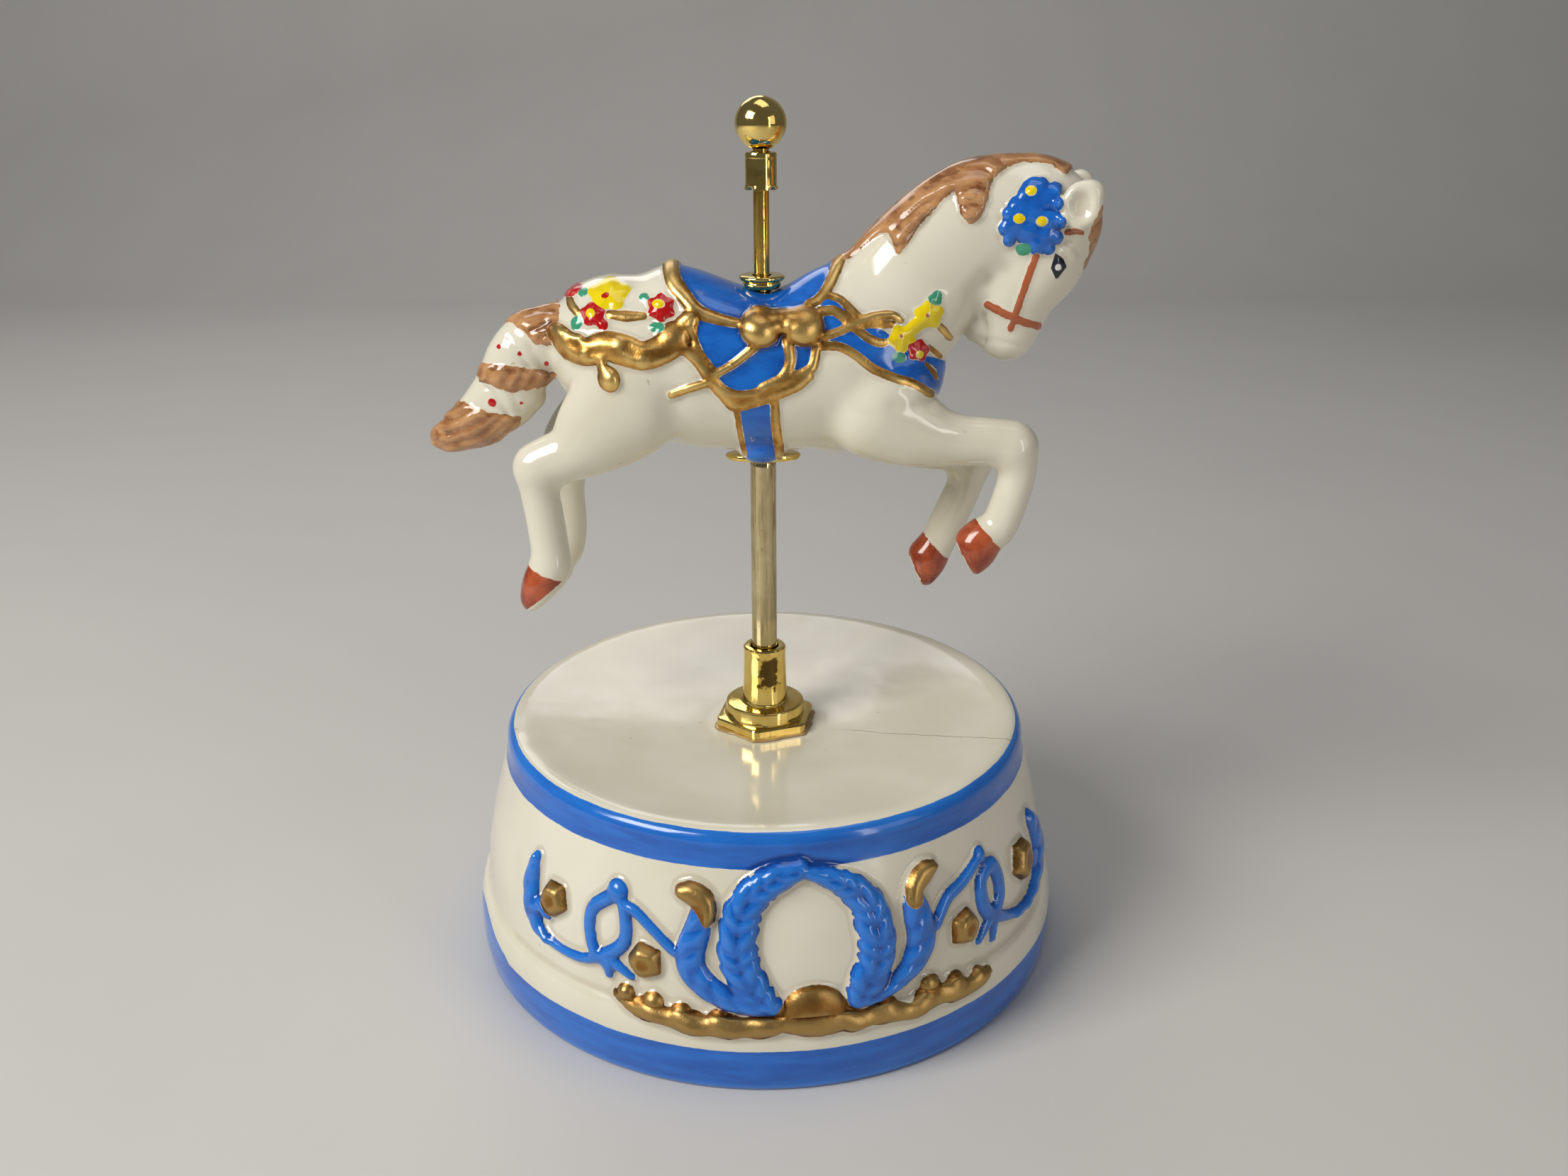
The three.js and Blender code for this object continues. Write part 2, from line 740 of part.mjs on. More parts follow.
// Butterfly key: a hub with two pierced wings.
function windingKey() {
  const wings = new THREE.Shape();
  const open = Math.PI * 0.75;
  wings.absarc(KEY_WING_X, 0, KEY_WING_RADIUS, -open, open, false);
  wings.lineTo(0, KEY_WAIST);
  wings.absarc(-KEY_WING_X, 0, KEY_WING_RADIUS, Math.PI - open, Math.PI + open, false);
  wings.lineTo(0, -KEY_WAIST);
  wings.closePath();
  const blade = plate(wings, -KEY_HALF_THICKNESS, KEY_HALF_THICKNESS)
    .rotateX(Math.PI / 2)
    .translate(0, 0, KEY_Z);
  const hub = post(KEY_HUB_RADIUS, KEY_HUB_Z, COVER_BOTTOM_Z + 1.2, 0, 0, 24);
  const fingerHoles = [-KEY_WING_X, KEY_WING_X].map((x) =>
    new THREE.CylinderGeometry(KEY_HOLE_RADIUS, KEY_HOLE_RADIUS, 6, 16).translate(x, 0, KEY_Z),
  );
  const bore = post(ARBOR_RADIUS + 0.25, KEY_HUB_Z - 1, COVER_BOTTOM_Z + 3);
  return cut(join(blade, hub), bore, ...fingerHoles);
}

function crownWheel() {
  const root = AXIS_Z - CROWN_PITCH_RADIUS / (CROWN_TEETH / PINION_TEETH) - 0.75;
  const tip = root + CROWN_TOOTH_HEIGHT;
  const bore = ARBOR_RADIUS + WHEEL_CLEARANCE;
  const disc = turned([
    [bore, CROWN_Z],
    [CROWN_RIM_RADIUS, CROWN_Z],
    [CROWN_RIM_RADIUS, root],
    [CROWN_RIM_INNER, root],
    [CROWN_RIM_INNER, CROWN_Z + CROWN_WEB],
    [CROWN_HUB_RADIUS, CROWN_Z + CROWN_WEB],
    [CROWN_HUB_RADIUS, root],
    [bore, root],
    [bore, CROWN_Z],
  ], 24);
  const teeth = [];
  for (let i = 0; i < CROWN_TEETH; i += 1) {
    const tooth = outline([
      [-0.42, root - 0.2],
      [0.42, root - 0.2],
      [0.2, tip],
      [-0.2, tip],
    ]);
    teeth.push(
      plate(tooth, 0, 2.5)
        .rotateX(Math.PI / 2)
        .translate(0, CROWN_RIM_RADIUS - 0.3, 0)
        .rotateZ(((i + 0.5) * 2 * Math.PI) / CROWN_TEETH + Math.PI / 2),
    );
  }
  return geometryOf(join(disc, ...teeth));
}

// Star washer that lets the key turn forwards without driving the wheel.
function clickWasher() {
  const washer = ring(ARBOR_RADIUS + WHEEL_CLEARANCE, WASHER_RADIUS, WASHER_LOW_Z, WASHER_HIGH_Z, 24);
  const fingers = [0, 1, 2].map((i) =>
    block(WASHER_RADIUS - 0.8, WASHER_FINGER_RADIUS, -0.9, 0.9, WASHER_LOW_Z, WASHER_HIGH_Z).rotateZ(
      (i * 2 * Math.PI) / 3,
    ),
  );
  return geometryOf(join(washer, ...fingers));
}

function springHousing() {
  const low = DECK_Z + GAP;
  const high = HOUSING_TOP_Z;
  return turned([
    [HOUSING_RADIUS - HOUSING_WALL, low],
    [HOUSING_RADIUS + 1, low],
    [HOUSING_RADIUS + 1, low + HOUSING_WALL],
    [HOUSING_RADIUS, low + HOUSING_WALL],
    [HOUSING_RADIUS, high],
    [HOUSING_HOLE, high],
    [HOUSING_HOLE, high - HOUSING_WALL],
    [HOUSING_RADIUS - HOUSING_WALL, high - HOUSING_WALL],
    [HOUSING_RADIUS - HOUSING_WALL, low],
  ], 28);
}

// Coiled strip between the arbor and the housing wall.
function mainspring() {
  const outer = HOUSING_RADIUS - HOUSING_WALL - 0.6;
  const steps = SPRING_TURNS * 10;
  const edge = (offset) =>
    Array.from({ length: steps + 1 }, (_, i) => {
      const angle = (i / steps) * SPRING_TURNS * 2 * Math.PI;
      const radius = SPRING_INNER + (outer - SPRING_INNER) * (i / steps) + offset;
      return [radius * Math.cos(angle), radius * Math.sin(angle)];
    });
  const strip = outline([...edge(SPRING_THICKNESS), ...edge(0).reverse()]);
  return plate(strip, DECK_Z + 1.2, HOUSING_TOP_Z - 1.4);
}

// ---- movement frame and music ----

function bedplate() {
  const deck = plate(outline(BEDPLATE_OUTLINE), BEDPLATE_Z, DECK_Z);
  const { x0, x1, y0, y1 } = PEDESTAL;
  const pedestal = block(x0, x1, y0, y1, DECK_Z - 0.5, AXIS_Z - 0.7);
  const bosses = MOVEMENT_SCREWS.map(([x, y]) => post(2.3, DECK_Z - 0.5, DECK_Z + 2.5, x, y, 16));
  const holes = MOVEMENT_SCREWS.map(([x, y]) => post(1.35, BEDPLATE_Z - 1, DECK_Z + 1.5, x, y, 12));
  const combHoles = COMB_SCREWS.map(([x, y]) => post(1.2, 24, 40, x, y, 12));
  const bracketHoles = BRACKET_SCREWS.map(([x, y]) => post(BRACKET_HOLE, 10, 20, x, y, 12));
  return cut(join(deck, pedestal, ...bosses), post(2.2, 10, 20), ...holes, ...combHoles, ...bracketHoles);
}

// Steel comb: eighteen teeth, each a little shorter than the last.
function comb() {
  const pitch = (CYLINDER_INNER_X - CYLINDER_OUTER_X - TRACK_MARGIN) / NOTES;
  const tooth = pitch * 0.66;
  const tips = CYLINDER_RADIUS + PIN_HEIGHT + 0.4;
  const points = [];
  for (let i = 0; i < NOTES; i += 1) {
    const x = CYLINDER_OUTER_X + TRACK_MARGIN / 2 + i * pitch;
    const root = COMB_SLOT_Y - i * 0.12;
    points.push([x + (pitch - tooth) / 2, root]);
    points.push([x + (pitch - tooth) / 2, tips]);
    points.push([x + (pitch + tooth) / 2, tips]);
    points.push([x + (pitch + tooth) / 2, root]);
  }
  points.push([CYLINDER_INNER_X, 13], [CYLINDER_INNER_X, COMB_BACK_Y], [CYLINDER_OUTER_X, COMB_BACK_Y]);
  points.push([CYLINDER_OUTER_X, COMB_SLOT_Y]);
  const low = AXIS_Z - 0.4;
  const holes = COMB_SCREWS.map(([x, y]) => post(1.4, low - 1, low + 3, x, y, 16));
  return cut(solid(plate(outline(points), low, low + COMB_THICKNESS)), ...holes);
}

// Barrel with pins set in eighteen tracks, arranged by a rising and falling figure.
function melodyCylinder() {
  const barrel = bar(CYLINDER_RADIUS, CYLINDER_OUTER_X, CYLINDER_INNER_X, 0, AXIS_Z, 28);
  const pitch = (CYLINDER_INNER_X - CYLINDER_OUTER_X - TRACK_MARGIN) / NOTES;
  const pins = [];
  for (let note = 0; note < NOTES; note += 1) {
    for (let beat = 0; beat < 2; beat += 1) {
      const angle = note * 0.61 + beat * 3 + Math.sin(note * 1.7) * 0.5;
      const x = CYLINDER_OUTER_X + TRACK_MARGIN / 2 + (note + 0.5) * pitch;
      pins.push(
        block(-0.18, 0.18, -0.18, 0.18, CYLINDER_RADIUS - 0.3, CYLINDER_RADIUS + PIN_HEIGHT)
          .rotateX(angle)
          .translate(x, 0, AXIS_Z),
      );
    }
  }
  const bore = bar(SPINDLE_RADIUS + 0.2, CYLINDER_OUTER_X - 1, CYLINDER_INNER_X + 1, 0, AXIS_Z);
  return cut(join(barrel, ...pins), bore);
}

function cylinderSpindle() {
  return bar(SPINDLE_RADIUS, ...SPINDLE_ENDS, 0, AXIS_Z, 16);
}

function cylinderPinion() {
  const shape = gearShape(PINION_TEETH, 2.25, 3.6, 0.46, 0.22);
  const bore = bar(SPINDLE_RADIUS + 0.2, -20, 0, 0, AXIS_Z);
  return cut(solid(gearAlongX(shape, ...PINION_ENDS, 0, AXIS_Z, 0)), bore);
}

function cylinderWheel() {
  const root = WHEEL_PITCH_RADIUS - 0.55;
  const tip = WHEEL_PITCH_RADIUS + 0.38;
  const shape = gearShape(WHEEL_TEETH, root, tip, 0.52, 0.26);
  const bore = bar(SPINDLE_RADIUS + 0.2, -40, -30, 0, AXIS_Z);
  return cut(solid(gearAlongX(shape, ...WHEEL_ENDS, 0, AXIS_Z, 0)), bore);
}

// Folded bracket: an upright across the spindle and a foot that runs from it along X.
function spindleBracket(x0, x1, footX, halfWidth, screwIndex) {
  const low = DECK_Z + GAP;
  const foot = block(Math.min(x0, footX), Math.max(x1, footX), -halfWidth, halfWidth, low, low + 1);
  const upright = block(x0, x1, -halfWidth, halfWidth, low, AXIS_Z + 2.4);
  const [x, y] = BRACKET_SCREWS[screwIndex];
  return cut(
    join(foot, upright),
    bar(SPINDLE_HOLE, x0 - 1, x1 + 1, 0, AXIS_Z),
    post(BRACKET_HOLE, low - 1, low + 2, x, y, 12),
  );
}

// ---- governor ----

function governorFrame() {
  const low = DECK_Z + GAP;
  const [outer, inner] = FRAME_X;
  const back = block(outer, inner, FRAME_BACK_Y, FRAME_BACK_Y + FRAME_SHEET, low, FRAME_TOP_Z);
  const foot = block(outer, inner, FRAME_BACK_Y, FRAME_BACK_Y + 4.4, low, low + 1);
  const armEnd = WORM_Y + 1.4;
  const lowerArm = block(outer + 0.7, inner - 2.5, FRAME_BACK_Y + 0.3, armEnd, 19.6, 20.6);
  const upperArm = block(outer + 0.7, inner - 2.5, FRAME_BACK_Y + 0.3, armEnd, FRAME_TOP_Z - 1, FRAME_TOP_Z);
  const cheekEnd = GOVERNOR_Y + 1.1;
  const cheeks = [outer, inner - 0.7].map((x) =>
    block(x, x + 0.7, FRAME_BACK_Y + 0.3, cheekEnd, GOVERNOR_Z - 1.2, GOVERNOR_Z + 1.2),
  );
  const [x, y] = BRACKET_SCREWS[2];
  return cut(
    join(back, foot, lowerArm, upperArm, ...cheeks),
    bar(0.8, -41, -33, GOVERNOR_Y, GOVERNOR_Z, 12),
    post(0.8, 19, 39, WORM_X, WORM_Y, 12),
    post(BRACKET_HOLE, low - 1, low + 2, x, y, 12),
  );
}

function governorWheel() {
  const root = GOVERNOR_WHEEL_RADIUS - 0.45;
  const tip = GOVERNOR_WHEEL_RADIUS + 0.25;
  const shape = gearShape(GOVERNOR_WHEEL_TEETH, root, tip, 0.46, 0.24);
  const wheel = gearAlongX(shape, ...GOVERNOR_WHEEL_ENDS, GOVERNOR_Y, GOVERNOR_Z, Math.PI / 2);
  const [outer, inner] = FRAME_X;
  const spindle = bar(GOVERNOR_SPINDLE_RADIUS, outer - 0.3, inner + 0.3, GOVERNOR_Y, GOVERNOR_Z, 12);
  return geometryOf(join(wheel, spindle));
}

function governorPinion() {
  const shape = gearShape(GOVERNOR_PINION_TEETH, 1, 1.95, 0.42, 0.18);
  const body = solid(gearAlongX(shape, ...WHEEL_ENDS, GOVERNOR_Y, GOVERNOR_Z, GOVERNOR_PINION_TURN));
  return cut(body, bar(0.7, -40, -30, GOVERNOR_Y, GOVERNOR_Z, 12));
}

// Worm: a vertical shaft whose middle carries a single right-hand thread.
function governorWorm() {
  const [low, high] = WORM_ENDS;
  const rows = Math.round(((high - low) / WORM_PITCH) * 6);
  const thread = new THREE.CylinderGeometry(1, 1, high - low, 10, rows)
    .rotateX(Math.PI / 2)
    .translate(0, 0, (low + high) / 2);
  const position = thread.attributes.position;
  for (let i = 0; i < position.count; i += 1) {
    const x = position.getX(i);
    const y = position.getY(i);
    const z = position.getZ(i);
    const turn = Math.atan2(y, x) / (2 * Math.PI);
    const phase = (z - GOVERNOR_Z) / WORM_PITCH - turn + WORM_PHASE;
    const crest = Math.cos(2 * Math.PI * phase);
    const radius = WORM_RADIUS - 0.12 + WORM_THREAD * THREE.MathUtils.clamp(crest * 1.4 - 0.3, -1, 1);
    position.setXYZ(i, x * radius, y * radius, z);
  }
  const shaft = post(GOVERNOR_SPINDLE_RADIUS, 19.2, FRAME_TOP_Z + 0.3, 0, 0, 12);
  return geometryOf(join(thread, shaft)).translate(WORM_X, WORM_Y, 0);
}

// Air brake: a hub with two flat vanes.
function governorFan() {
  const hub = post(FAN_HUB_RADIUS, ...FAN_HUB_ENDS, 0, 0, 16);
  const vanes = block(-FAN_RADIUS, FAN_RADIUS, -0.2, 0.2, ...FAN_ENDS);
  return cut(join(hub, vanes), post(0.7, 30, 38, 0, 0, 12)).translate(WORM_X, WORM_Y, 0);
}

// ---- assembly ----

add("base_shell", baseShell(), glaze());
add("pole_bushing", poleBushing(), nylon());
add("base_ferrule", baseFerrule(), brass());
add("ferrule_glue", ferruleGlue(), adhesive());
add("bottom_cover", bottomCover(), coverPlastic());
plugPlaces().forEach((place, i) => {
  add("screw_plug_" + (i + 1), screwPlug(place), nylon());
  add("cover_screw_" + (i + 1), screwFromBelow(...place, COVER_SCREW_HEAD_Z, 2.2, 0.9, 16.6), steel());
});
MOVEMENT_SCREWS.forEach(([x, y], i) => {
  add("movement_screw_" + (i + 1), screwFromBelow(x, y, COVER_SCREW_HEAD_Z, 2.4, 1.05, 16), steel());
});

add("horse", horse(), glaze());
add("pole_rod", post(ROD_RADIUS, ROD_BOTTOM_Z, BALL_Z - 1.5, 0, 0, 24), brass());
add("pole_tube", poleTube(), wornNickel());
add("belly_flange", bellyFlange(), brass());
add("saddle_ferrule", saddleFerrule(), brass());
add("finial_collar", finialCollar(), brass());
add("finial_ball", finialBall(), brass());
add("arbor_coupling", arborCoupling(), steel());
add("winding_arbor", windingArbor(), steel());
add("winding_key", windingKey(), brass());
add("crown_wheel", crownWheel(), brass());
add("click_washer", clickWasher(), steel());

add("bedplate", bedplate(), zinc());
add("spring_housing", springHousing(), steel());
add("mainspring", mainspring(), steel());
add("tone_comb", comb(), steel());
COMB_SCREWS.forEach(([x, y], i) => {
  add("comb_screw_" + (i + 1), screwFromAbove(x, y, AXIS_Z + 1.8, 2.1, 0.9, 25), steel());
});
add("inner_bracket", spindleBracket(-15.9, -14.9, -20.4, 3.5, 0), zinc());
add("outer_bracket", spindleBracket(-38, -36.9, -31.4, 2.2, 1), zinc());
add("melody_cylinder", melodyCylinder(), brass());
add("cylinder_spindle", cylinderSpindle(), steel());
add("cylinder_pinion", cylinderPinion(), brass());
add("cylinder_wheel", cylinderWheel(), brass());
add("governor_frame", governorFrame(), zinc());
add("governor_wheel", governorWheel(), brass());
add("governor_pinion", governorPinion(), brass());
add("governor_worm", governorWorm(), steel());
add("governor_fan", governorFan(), nylon());
BRACKET_SCREWS.forEach(([x, y], i) => {
  add("bracket_screw_" + (i + 1), screwFromAbove(x, y, 17.7, 1.6, 0.8, 14), steel());
});

export default group;
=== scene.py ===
import json
import math

import bpy
import numpy as np
from mathutils import Matrix, Vector

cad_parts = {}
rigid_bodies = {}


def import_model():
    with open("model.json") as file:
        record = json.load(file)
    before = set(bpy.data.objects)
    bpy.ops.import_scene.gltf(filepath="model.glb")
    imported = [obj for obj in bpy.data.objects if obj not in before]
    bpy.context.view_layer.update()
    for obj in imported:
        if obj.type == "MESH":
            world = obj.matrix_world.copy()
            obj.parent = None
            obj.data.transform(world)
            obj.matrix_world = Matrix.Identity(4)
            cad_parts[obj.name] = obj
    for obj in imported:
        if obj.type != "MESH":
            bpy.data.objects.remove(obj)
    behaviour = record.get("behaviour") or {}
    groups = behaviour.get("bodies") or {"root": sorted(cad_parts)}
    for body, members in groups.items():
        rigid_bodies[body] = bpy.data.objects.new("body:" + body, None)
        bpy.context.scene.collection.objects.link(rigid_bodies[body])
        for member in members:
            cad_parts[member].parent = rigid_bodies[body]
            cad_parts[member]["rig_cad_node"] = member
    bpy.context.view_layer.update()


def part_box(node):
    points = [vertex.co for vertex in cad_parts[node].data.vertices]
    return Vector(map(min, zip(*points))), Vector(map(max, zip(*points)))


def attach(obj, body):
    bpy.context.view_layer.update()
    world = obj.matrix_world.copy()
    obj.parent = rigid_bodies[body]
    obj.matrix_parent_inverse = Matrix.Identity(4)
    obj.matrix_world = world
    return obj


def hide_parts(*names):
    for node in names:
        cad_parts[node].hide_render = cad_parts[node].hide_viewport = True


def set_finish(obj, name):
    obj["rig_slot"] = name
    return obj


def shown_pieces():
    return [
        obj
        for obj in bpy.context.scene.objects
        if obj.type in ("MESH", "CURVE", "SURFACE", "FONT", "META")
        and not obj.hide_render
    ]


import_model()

MM = 0.001

# The elevation drawings are made in the plane y = 0 as seen from this station, in mm.
STATION_Y = -252.4
STATION_Z = 167.3
CAMERA_PITCH = 20.99
CAMERA_TURN = -0.86
CAMERA_ROLL = -0.13
CAMERA_LENS = 32.55

# ------------------------------------------------------------------ flat drawings


def curve(points, per=5):
    """Rows on a smooth curve through the given rows."""
    p = np.asarray(points, float)
    p = np.vstack([2 * p[0] - p[1], p, 2 * p[-1] - p[-2]])
    t = np.linspace(0, 1, per, endpoint=False)[:, None]
    rows = []
    for a, b, c, d in zip(p, p[1:], p[2:], p[3:]):
        square = (2 * a - 5 * b + 4 * c - d) * t**2
        cube = (3 * b - a - 3 * c + d) * t**3
        rows.append(0.5 * (2 * b + (c - a) * t + square + cube))
    rows.append(p[-2][None])
    return np.vstack(rows)


def nearest(line, x, z):
    """For each point: distance to the line, the line's extra columns there, arc length and side."""
    score = np.full(x.shape, 1e9, np.float32)
    distance, run, side = (np.zeros(x.shape, np.float32) for _ in range(3))
    extras = [np.zeros(x.shape, np.float32) for _ in range(line.shape[1] - 2)]
    start = 0.0
    for a, b in zip(line, line[1:]):
        step = b - a
        length = math.hypot(step[0], step[1])
        if length < 1e-6:
            continue
        t = ((x - a[0]) * step[0] + (z - a[1]) * step[1]) / length**2
        t = np.clip(t, 0, 1)
        dx = x - a[0] - t * step[0]
        dz = z - a[1] - t * step[1]
        d = np.hypot(dx, dz)
        s = d - (a[2] + t * step[2])
        better = s < score
        score = np.where(better, s, score)
        distance = np.where(better, d, distance)
        run = np.where(better, start + t * length, run)
        side = np.where(better, np.sign(step[0] * dz - step[1] * dx), side)
        for i, e in enumerate(extras):
            extras[i] = np.where(better, a[2 + i] + t * step[2 + i], e)
        start += length
    return distance, extras, run, side


def weave(x, z, size):
    """A smooth uneven pattern, from -1 to 1, with features about this size in mm."""
    u = 2 * math.pi * x / size
    v = 2 * math.pi * z / size
    one = np.sin(u + 1.3 * np.sin(0.63 * v)) * np.cos(0.81 * v + 0.7 * np.sin(0.57 * u))
    two = np.sin(1.9 * u - 1.1 * v + 0.9) * 0.5
    return (one + two) / 1.5


class Drawing:
    """Painted and raised areas on a flat sheet in mm: a signed distance per colour and a height."""

    FRINGE = 2.5  # how far from an edge, in mm, the distances still count
    PETAL_DEPTH = 0.11

    def __init__(self, x0, x1, z0, z1, step, colours):
        self.x0, self.z0, self.step = x0, z0, step
        self.shape = int((x1 - x0) / step) + 1, int((z1 - z0) / step) + 1
        self.paint = {c: np.full(self.shape, -self.FRINGE, np.float32) for c in colours}
        self.height = np.zeros(self.shape, np.float32)

    def window(self, points, margin):
        """The part of the sheet round these points, and the place of each of its cells."""
        low = np.min(points, 0)
        high = np.max(points, 0)
        cell = [
            (int((low[0] - margin - self.x0) / self.step), int((high[0] + margin - self.x0) / self.step) + 2),
            (int((low[1] - margin - self.z0) / self.step), int((high[1] + margin - self.z0) / self.step) + 2),
        ]
        i0, i1 = (min(max(v, 0), self.shape[0]) for v in cell[0])
        k0, k1 = (min(max(v, 0), self.shape[1]) for v in cell[1])
        x = self.x0 + np.arange(i0, i1, dtype=np.float32)[:, None] * self.step
        z = self.z0 + np.arange(k0, k1, dtype=np.float32)[None, :] * self.step
        x, z = np.broadcast_arrays(x, z)
        return (slice(i0, i1), slice(k0, k1)), x, z

    def mark(self, win, inside, colour, rise):
        """Paints over what was there, and keeps the higher of the two reliefs."""
        if colour:
            for name, layer in self.paint.items():
                if name == colour:
                    layer[win] = np.maximum(layer[win], inside)
                else:
                    layer[win] = np.minimum(layer[win], -inside)
        self.height[win] = np.maximum(self.height[win], rise)

    def stroke(self, points, width=None, colour=None, height=0.0, texture=None, per=5):
        """A brush stroke or moulded bar of varying half width along a smooth curve."""
        rows = [p if len(p) == 3 else (*p, width) for p in points]
        line = curve(rows, per)
        win, x, z = self.window(line[:, :2], line[:, 2].max() + self.FRINGE)
        d, (w,), run, side = nearest(line, x, z)
        across = np.clip(d / w, 0, 1)
        rise = height * (1 - across**2.6) ** 0.5
        v = across * side
        if texture == "leaf":
            phase = run / 3.1 + 0.95 * np.abs(v) + 0.16 * np.sin(0.9 * run)
            leaf = np.abs(np.cos(math.pi * phase)) ** 0.8
            w = w * (0.86 + 0.2 * leaf)
            rise = rise * (0.72 + 0.28 * leaf * (0.35 + 0.65 * np.abs(v)) - 0.05 * (np.abs(v) < 0.16))
        if texture == "twist":
            rise = rise * (0.82 + 0.18 * np.abs(np.cos(math.pi * (run / 4.2 + 0.5 * v))) ** 0.8)
        if texture == "lumpy":
            w = w * (1 + 0.2 * np.cos(0.95 * run + 0.9 * np.sin(0.3 * run)))
            rise = rise * (0.86 + 0.14 * np.cos(0.95 * run + 1.2 * v))
        if texture == "beads":
            rise = rise * (0.55 + 0.45 * np.abs(np.cos(2.6 * x) * np.cos(2.6 * z)))
        if texture == "cloth":
            rise = rise * (0.9 + 0.1 * np.cos(5.5 * v + 0.55 * run))
        self.mark(win, w - d, colour, rise)

    def area(self, corners, colour=None, height=0.0, edge=0.8, per=0):
        """An outline filled with paint and raised inside its edge."""
        points = np.asarray(corners, float)
        if per:
            points = curve(np.vstack([points, points[:1]]), per)[:-1]
        win, x, z = self.window(points, self.FRINGE)
        d = np.full(x.shape, 1e9, np.float32)
        odd = np.zeros(x.shape, bool)
        for a, b in zip(points, np.roll(points, -1, 0)):
            step = b - a
            t = ((x - a[0]) * step[0] + (z - a[1]) * step[1]) / max(step @ step, 1e-9)
            t = np.clip(t, 0, 1)
            d = np.minimum(d, np.hypot(x - a[0] - t * step[0], z - a[1] - t * step[1]))
            if a[1] != b[1]:
                crossing = (z > a[1]) != (z > b[1])
                odd ^= crossing & (x < a[0] + (z - a[1]) * step[0] / step[1])
        inside = np.where(odd, d, -d)
        rise = height * np.sqrt(1 - (1 - np.clip(inside / edge, 0, 1)) ** 2)
        self.mark(win, inside, colour, rise)

    def blob(self, x0, z0, r, colour=None, height=0.0, petals=0, stretch=1.0, turn=0.0):
        """A domed spot, or a flower when it has petals."""
        win, x, z = self.window([(x0, z0)], r * max(stretch, 1) * 1.3 + self.FRINGE)
        c = math.cos(math.radians(turn))
        s = math.sin(math.radians(turn))
        u = (c * (x - x0) + s * (z - z0)) / stretch
        v = c * (z - z0) - s * (x - x0)
        far = np.hypot(u, v)
        angle = np.arctan2(v, u)
        reach = r * (1 + (self.PETAL_DEPTH * np.cos(petals * angle) if petals else 0))
        rise = height * np.sqrt(1 - np.clip(far / reach, 0, 1) ** 2)
        if petals:
            rise = rise * (0.8 + 0.2 * np.cos(petals * angle))
        self.mark(win, reach - far, colour, rise)

    def gem(self, x0, z0, r, colour, height, sides, turn):
        """A nugget with flat sides and a flat, tilted top."""
        win, x, z = self.window([(x0, z0)], r * 1.3 + self.FRINGE)
        u = x - x0
        v = z - z0
        total = np.zeros(x.shape, np.float32)
        for i in range(sides):
            a = math.radians(turn + i * 360 / sides)
            total += np.exp(4 * (u * math.cos(a) + v * math.sin(a) - r))
        inside = -np.log(total) / 4
        top = height * (0.9 - 0.14 * u / r + 0.12 * v / r)
        rise = np.clip(np.minimum(inside * 1.9 + 0.4, top), 0, height) * (inside > 0)
        self.mark(win, inside, colour, rise)

    def groove(self, points, width, depth):
        """A soft furrow along a smooth curve through the points."""
        line = curve([(*p, width) for p in points])
        win, x, z = self.window(line[:, :2], 3 * width)
        d = nearest(line, x, z)[0]
        self.height[win] -= depth * np.exp(-((d / width) ** 2))

    def soften(self, rounds):
        """Rounds off the edges of the relief."""
        h = self.height
        for _ in range(rounds):
            h[1:-1] = 0.25 * (h[:-2] + h[2:]) + 0.5 * h[1:-1]
            h[:, 1:-1] = 0.25 * (h[:, :-2] + h[:, 2:]) + 0.5 * h[:, 1:-1]

    def read(self, layer, x, z):
        """The layer's values at places given in mm, found between the sheet's points."""
        u = np.clip((x - self.x0) / self.step, 0, self.shape[0] - 1.001)
        v = np.clip((z - self.z0) / self.step, 0, self.shape[1] - 1.001)
        i = u.astype(int)
        k = v.astype(int)
        u = u - i
        v = v - k
        low = layer[i, k] * (1 - u) + layer[i + 1, k] * u
        high = layer[i, k + 1] * (1 - u) + layer[i + 1, k + 1] * u
        return low * (1 - v) + high * v


# ------------------------------------------------------------------ meshes


def make(name, points_mm, faces, body, slot_name, nodes, sharp=40.0):
    """A mesh piece in the shared frame that rides on a body and stands for CAD nodes."""
    mesh = bpy.data.meshes.new(name)
    mesh.from_pydata(np.asarray(points_mm) * MM, [], faces)
    mesh.validate()
    mesh.shade_smooth()
    mesh.set_sharp_from_angle(angle=math.radians(sharp))
    piece = bpy.data.objects.new(name, mesh)
    bpy.context.scene.collection.objects.link(piece)
    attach(piece, body)
    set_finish(piece, slot_name)
    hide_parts(*nodes)
    return piece


def vertices_of(mesh, field="vertices"):
    flat = np.zeros(len(mesh.vertices) * 3, np.float32)
    if field == "vertices":
        mesh.vertices.foreach_get("co", flat)
    else:
        mesh.vertex_normals.foreach_get("vector", flat)
    return flat.reshape(-1, 3)


def neighbour_mean(values, edges, count):
    total = np.zeros_like(values)
    for axis in range(values.shape[1]):
        total[:, axis] = np.bincount(edges[:, 0], values[edges[:, 1], axis], count)
        total[:, axis] += np.bincount(edges[:, 1], values[edges[:, 0], axis], count)
    return total


def hollows(mesh, rounds, scale):
    """How far each vertex lies under its surroundings: 1 in a groove, -1 on a crest. The materials paint shade
    and highlight by it.
    """
    start = vertices_of(mesh)
    normals = vertices_of(mesh, "normals")
    edges = np.zeros(len(mesh.edges) * 2, np.int32)
    mesh.edges.foreach_get("vertices", edges)
    edges = edges.reshape(-1, 2)
    count = len(start)
    degree = np.bincount(edges.ravel(), minlength=count)[:, None]
    moved = start.copy()
    for _ in range(rounds):
        moved = 0.5 * moved + 0.5 * neighbour_mean(moved, edges, count) / degree
    depth = ((moved - start) * normals).sum(1)
    return np.clip(depth / (scale * MM), -1, 1)


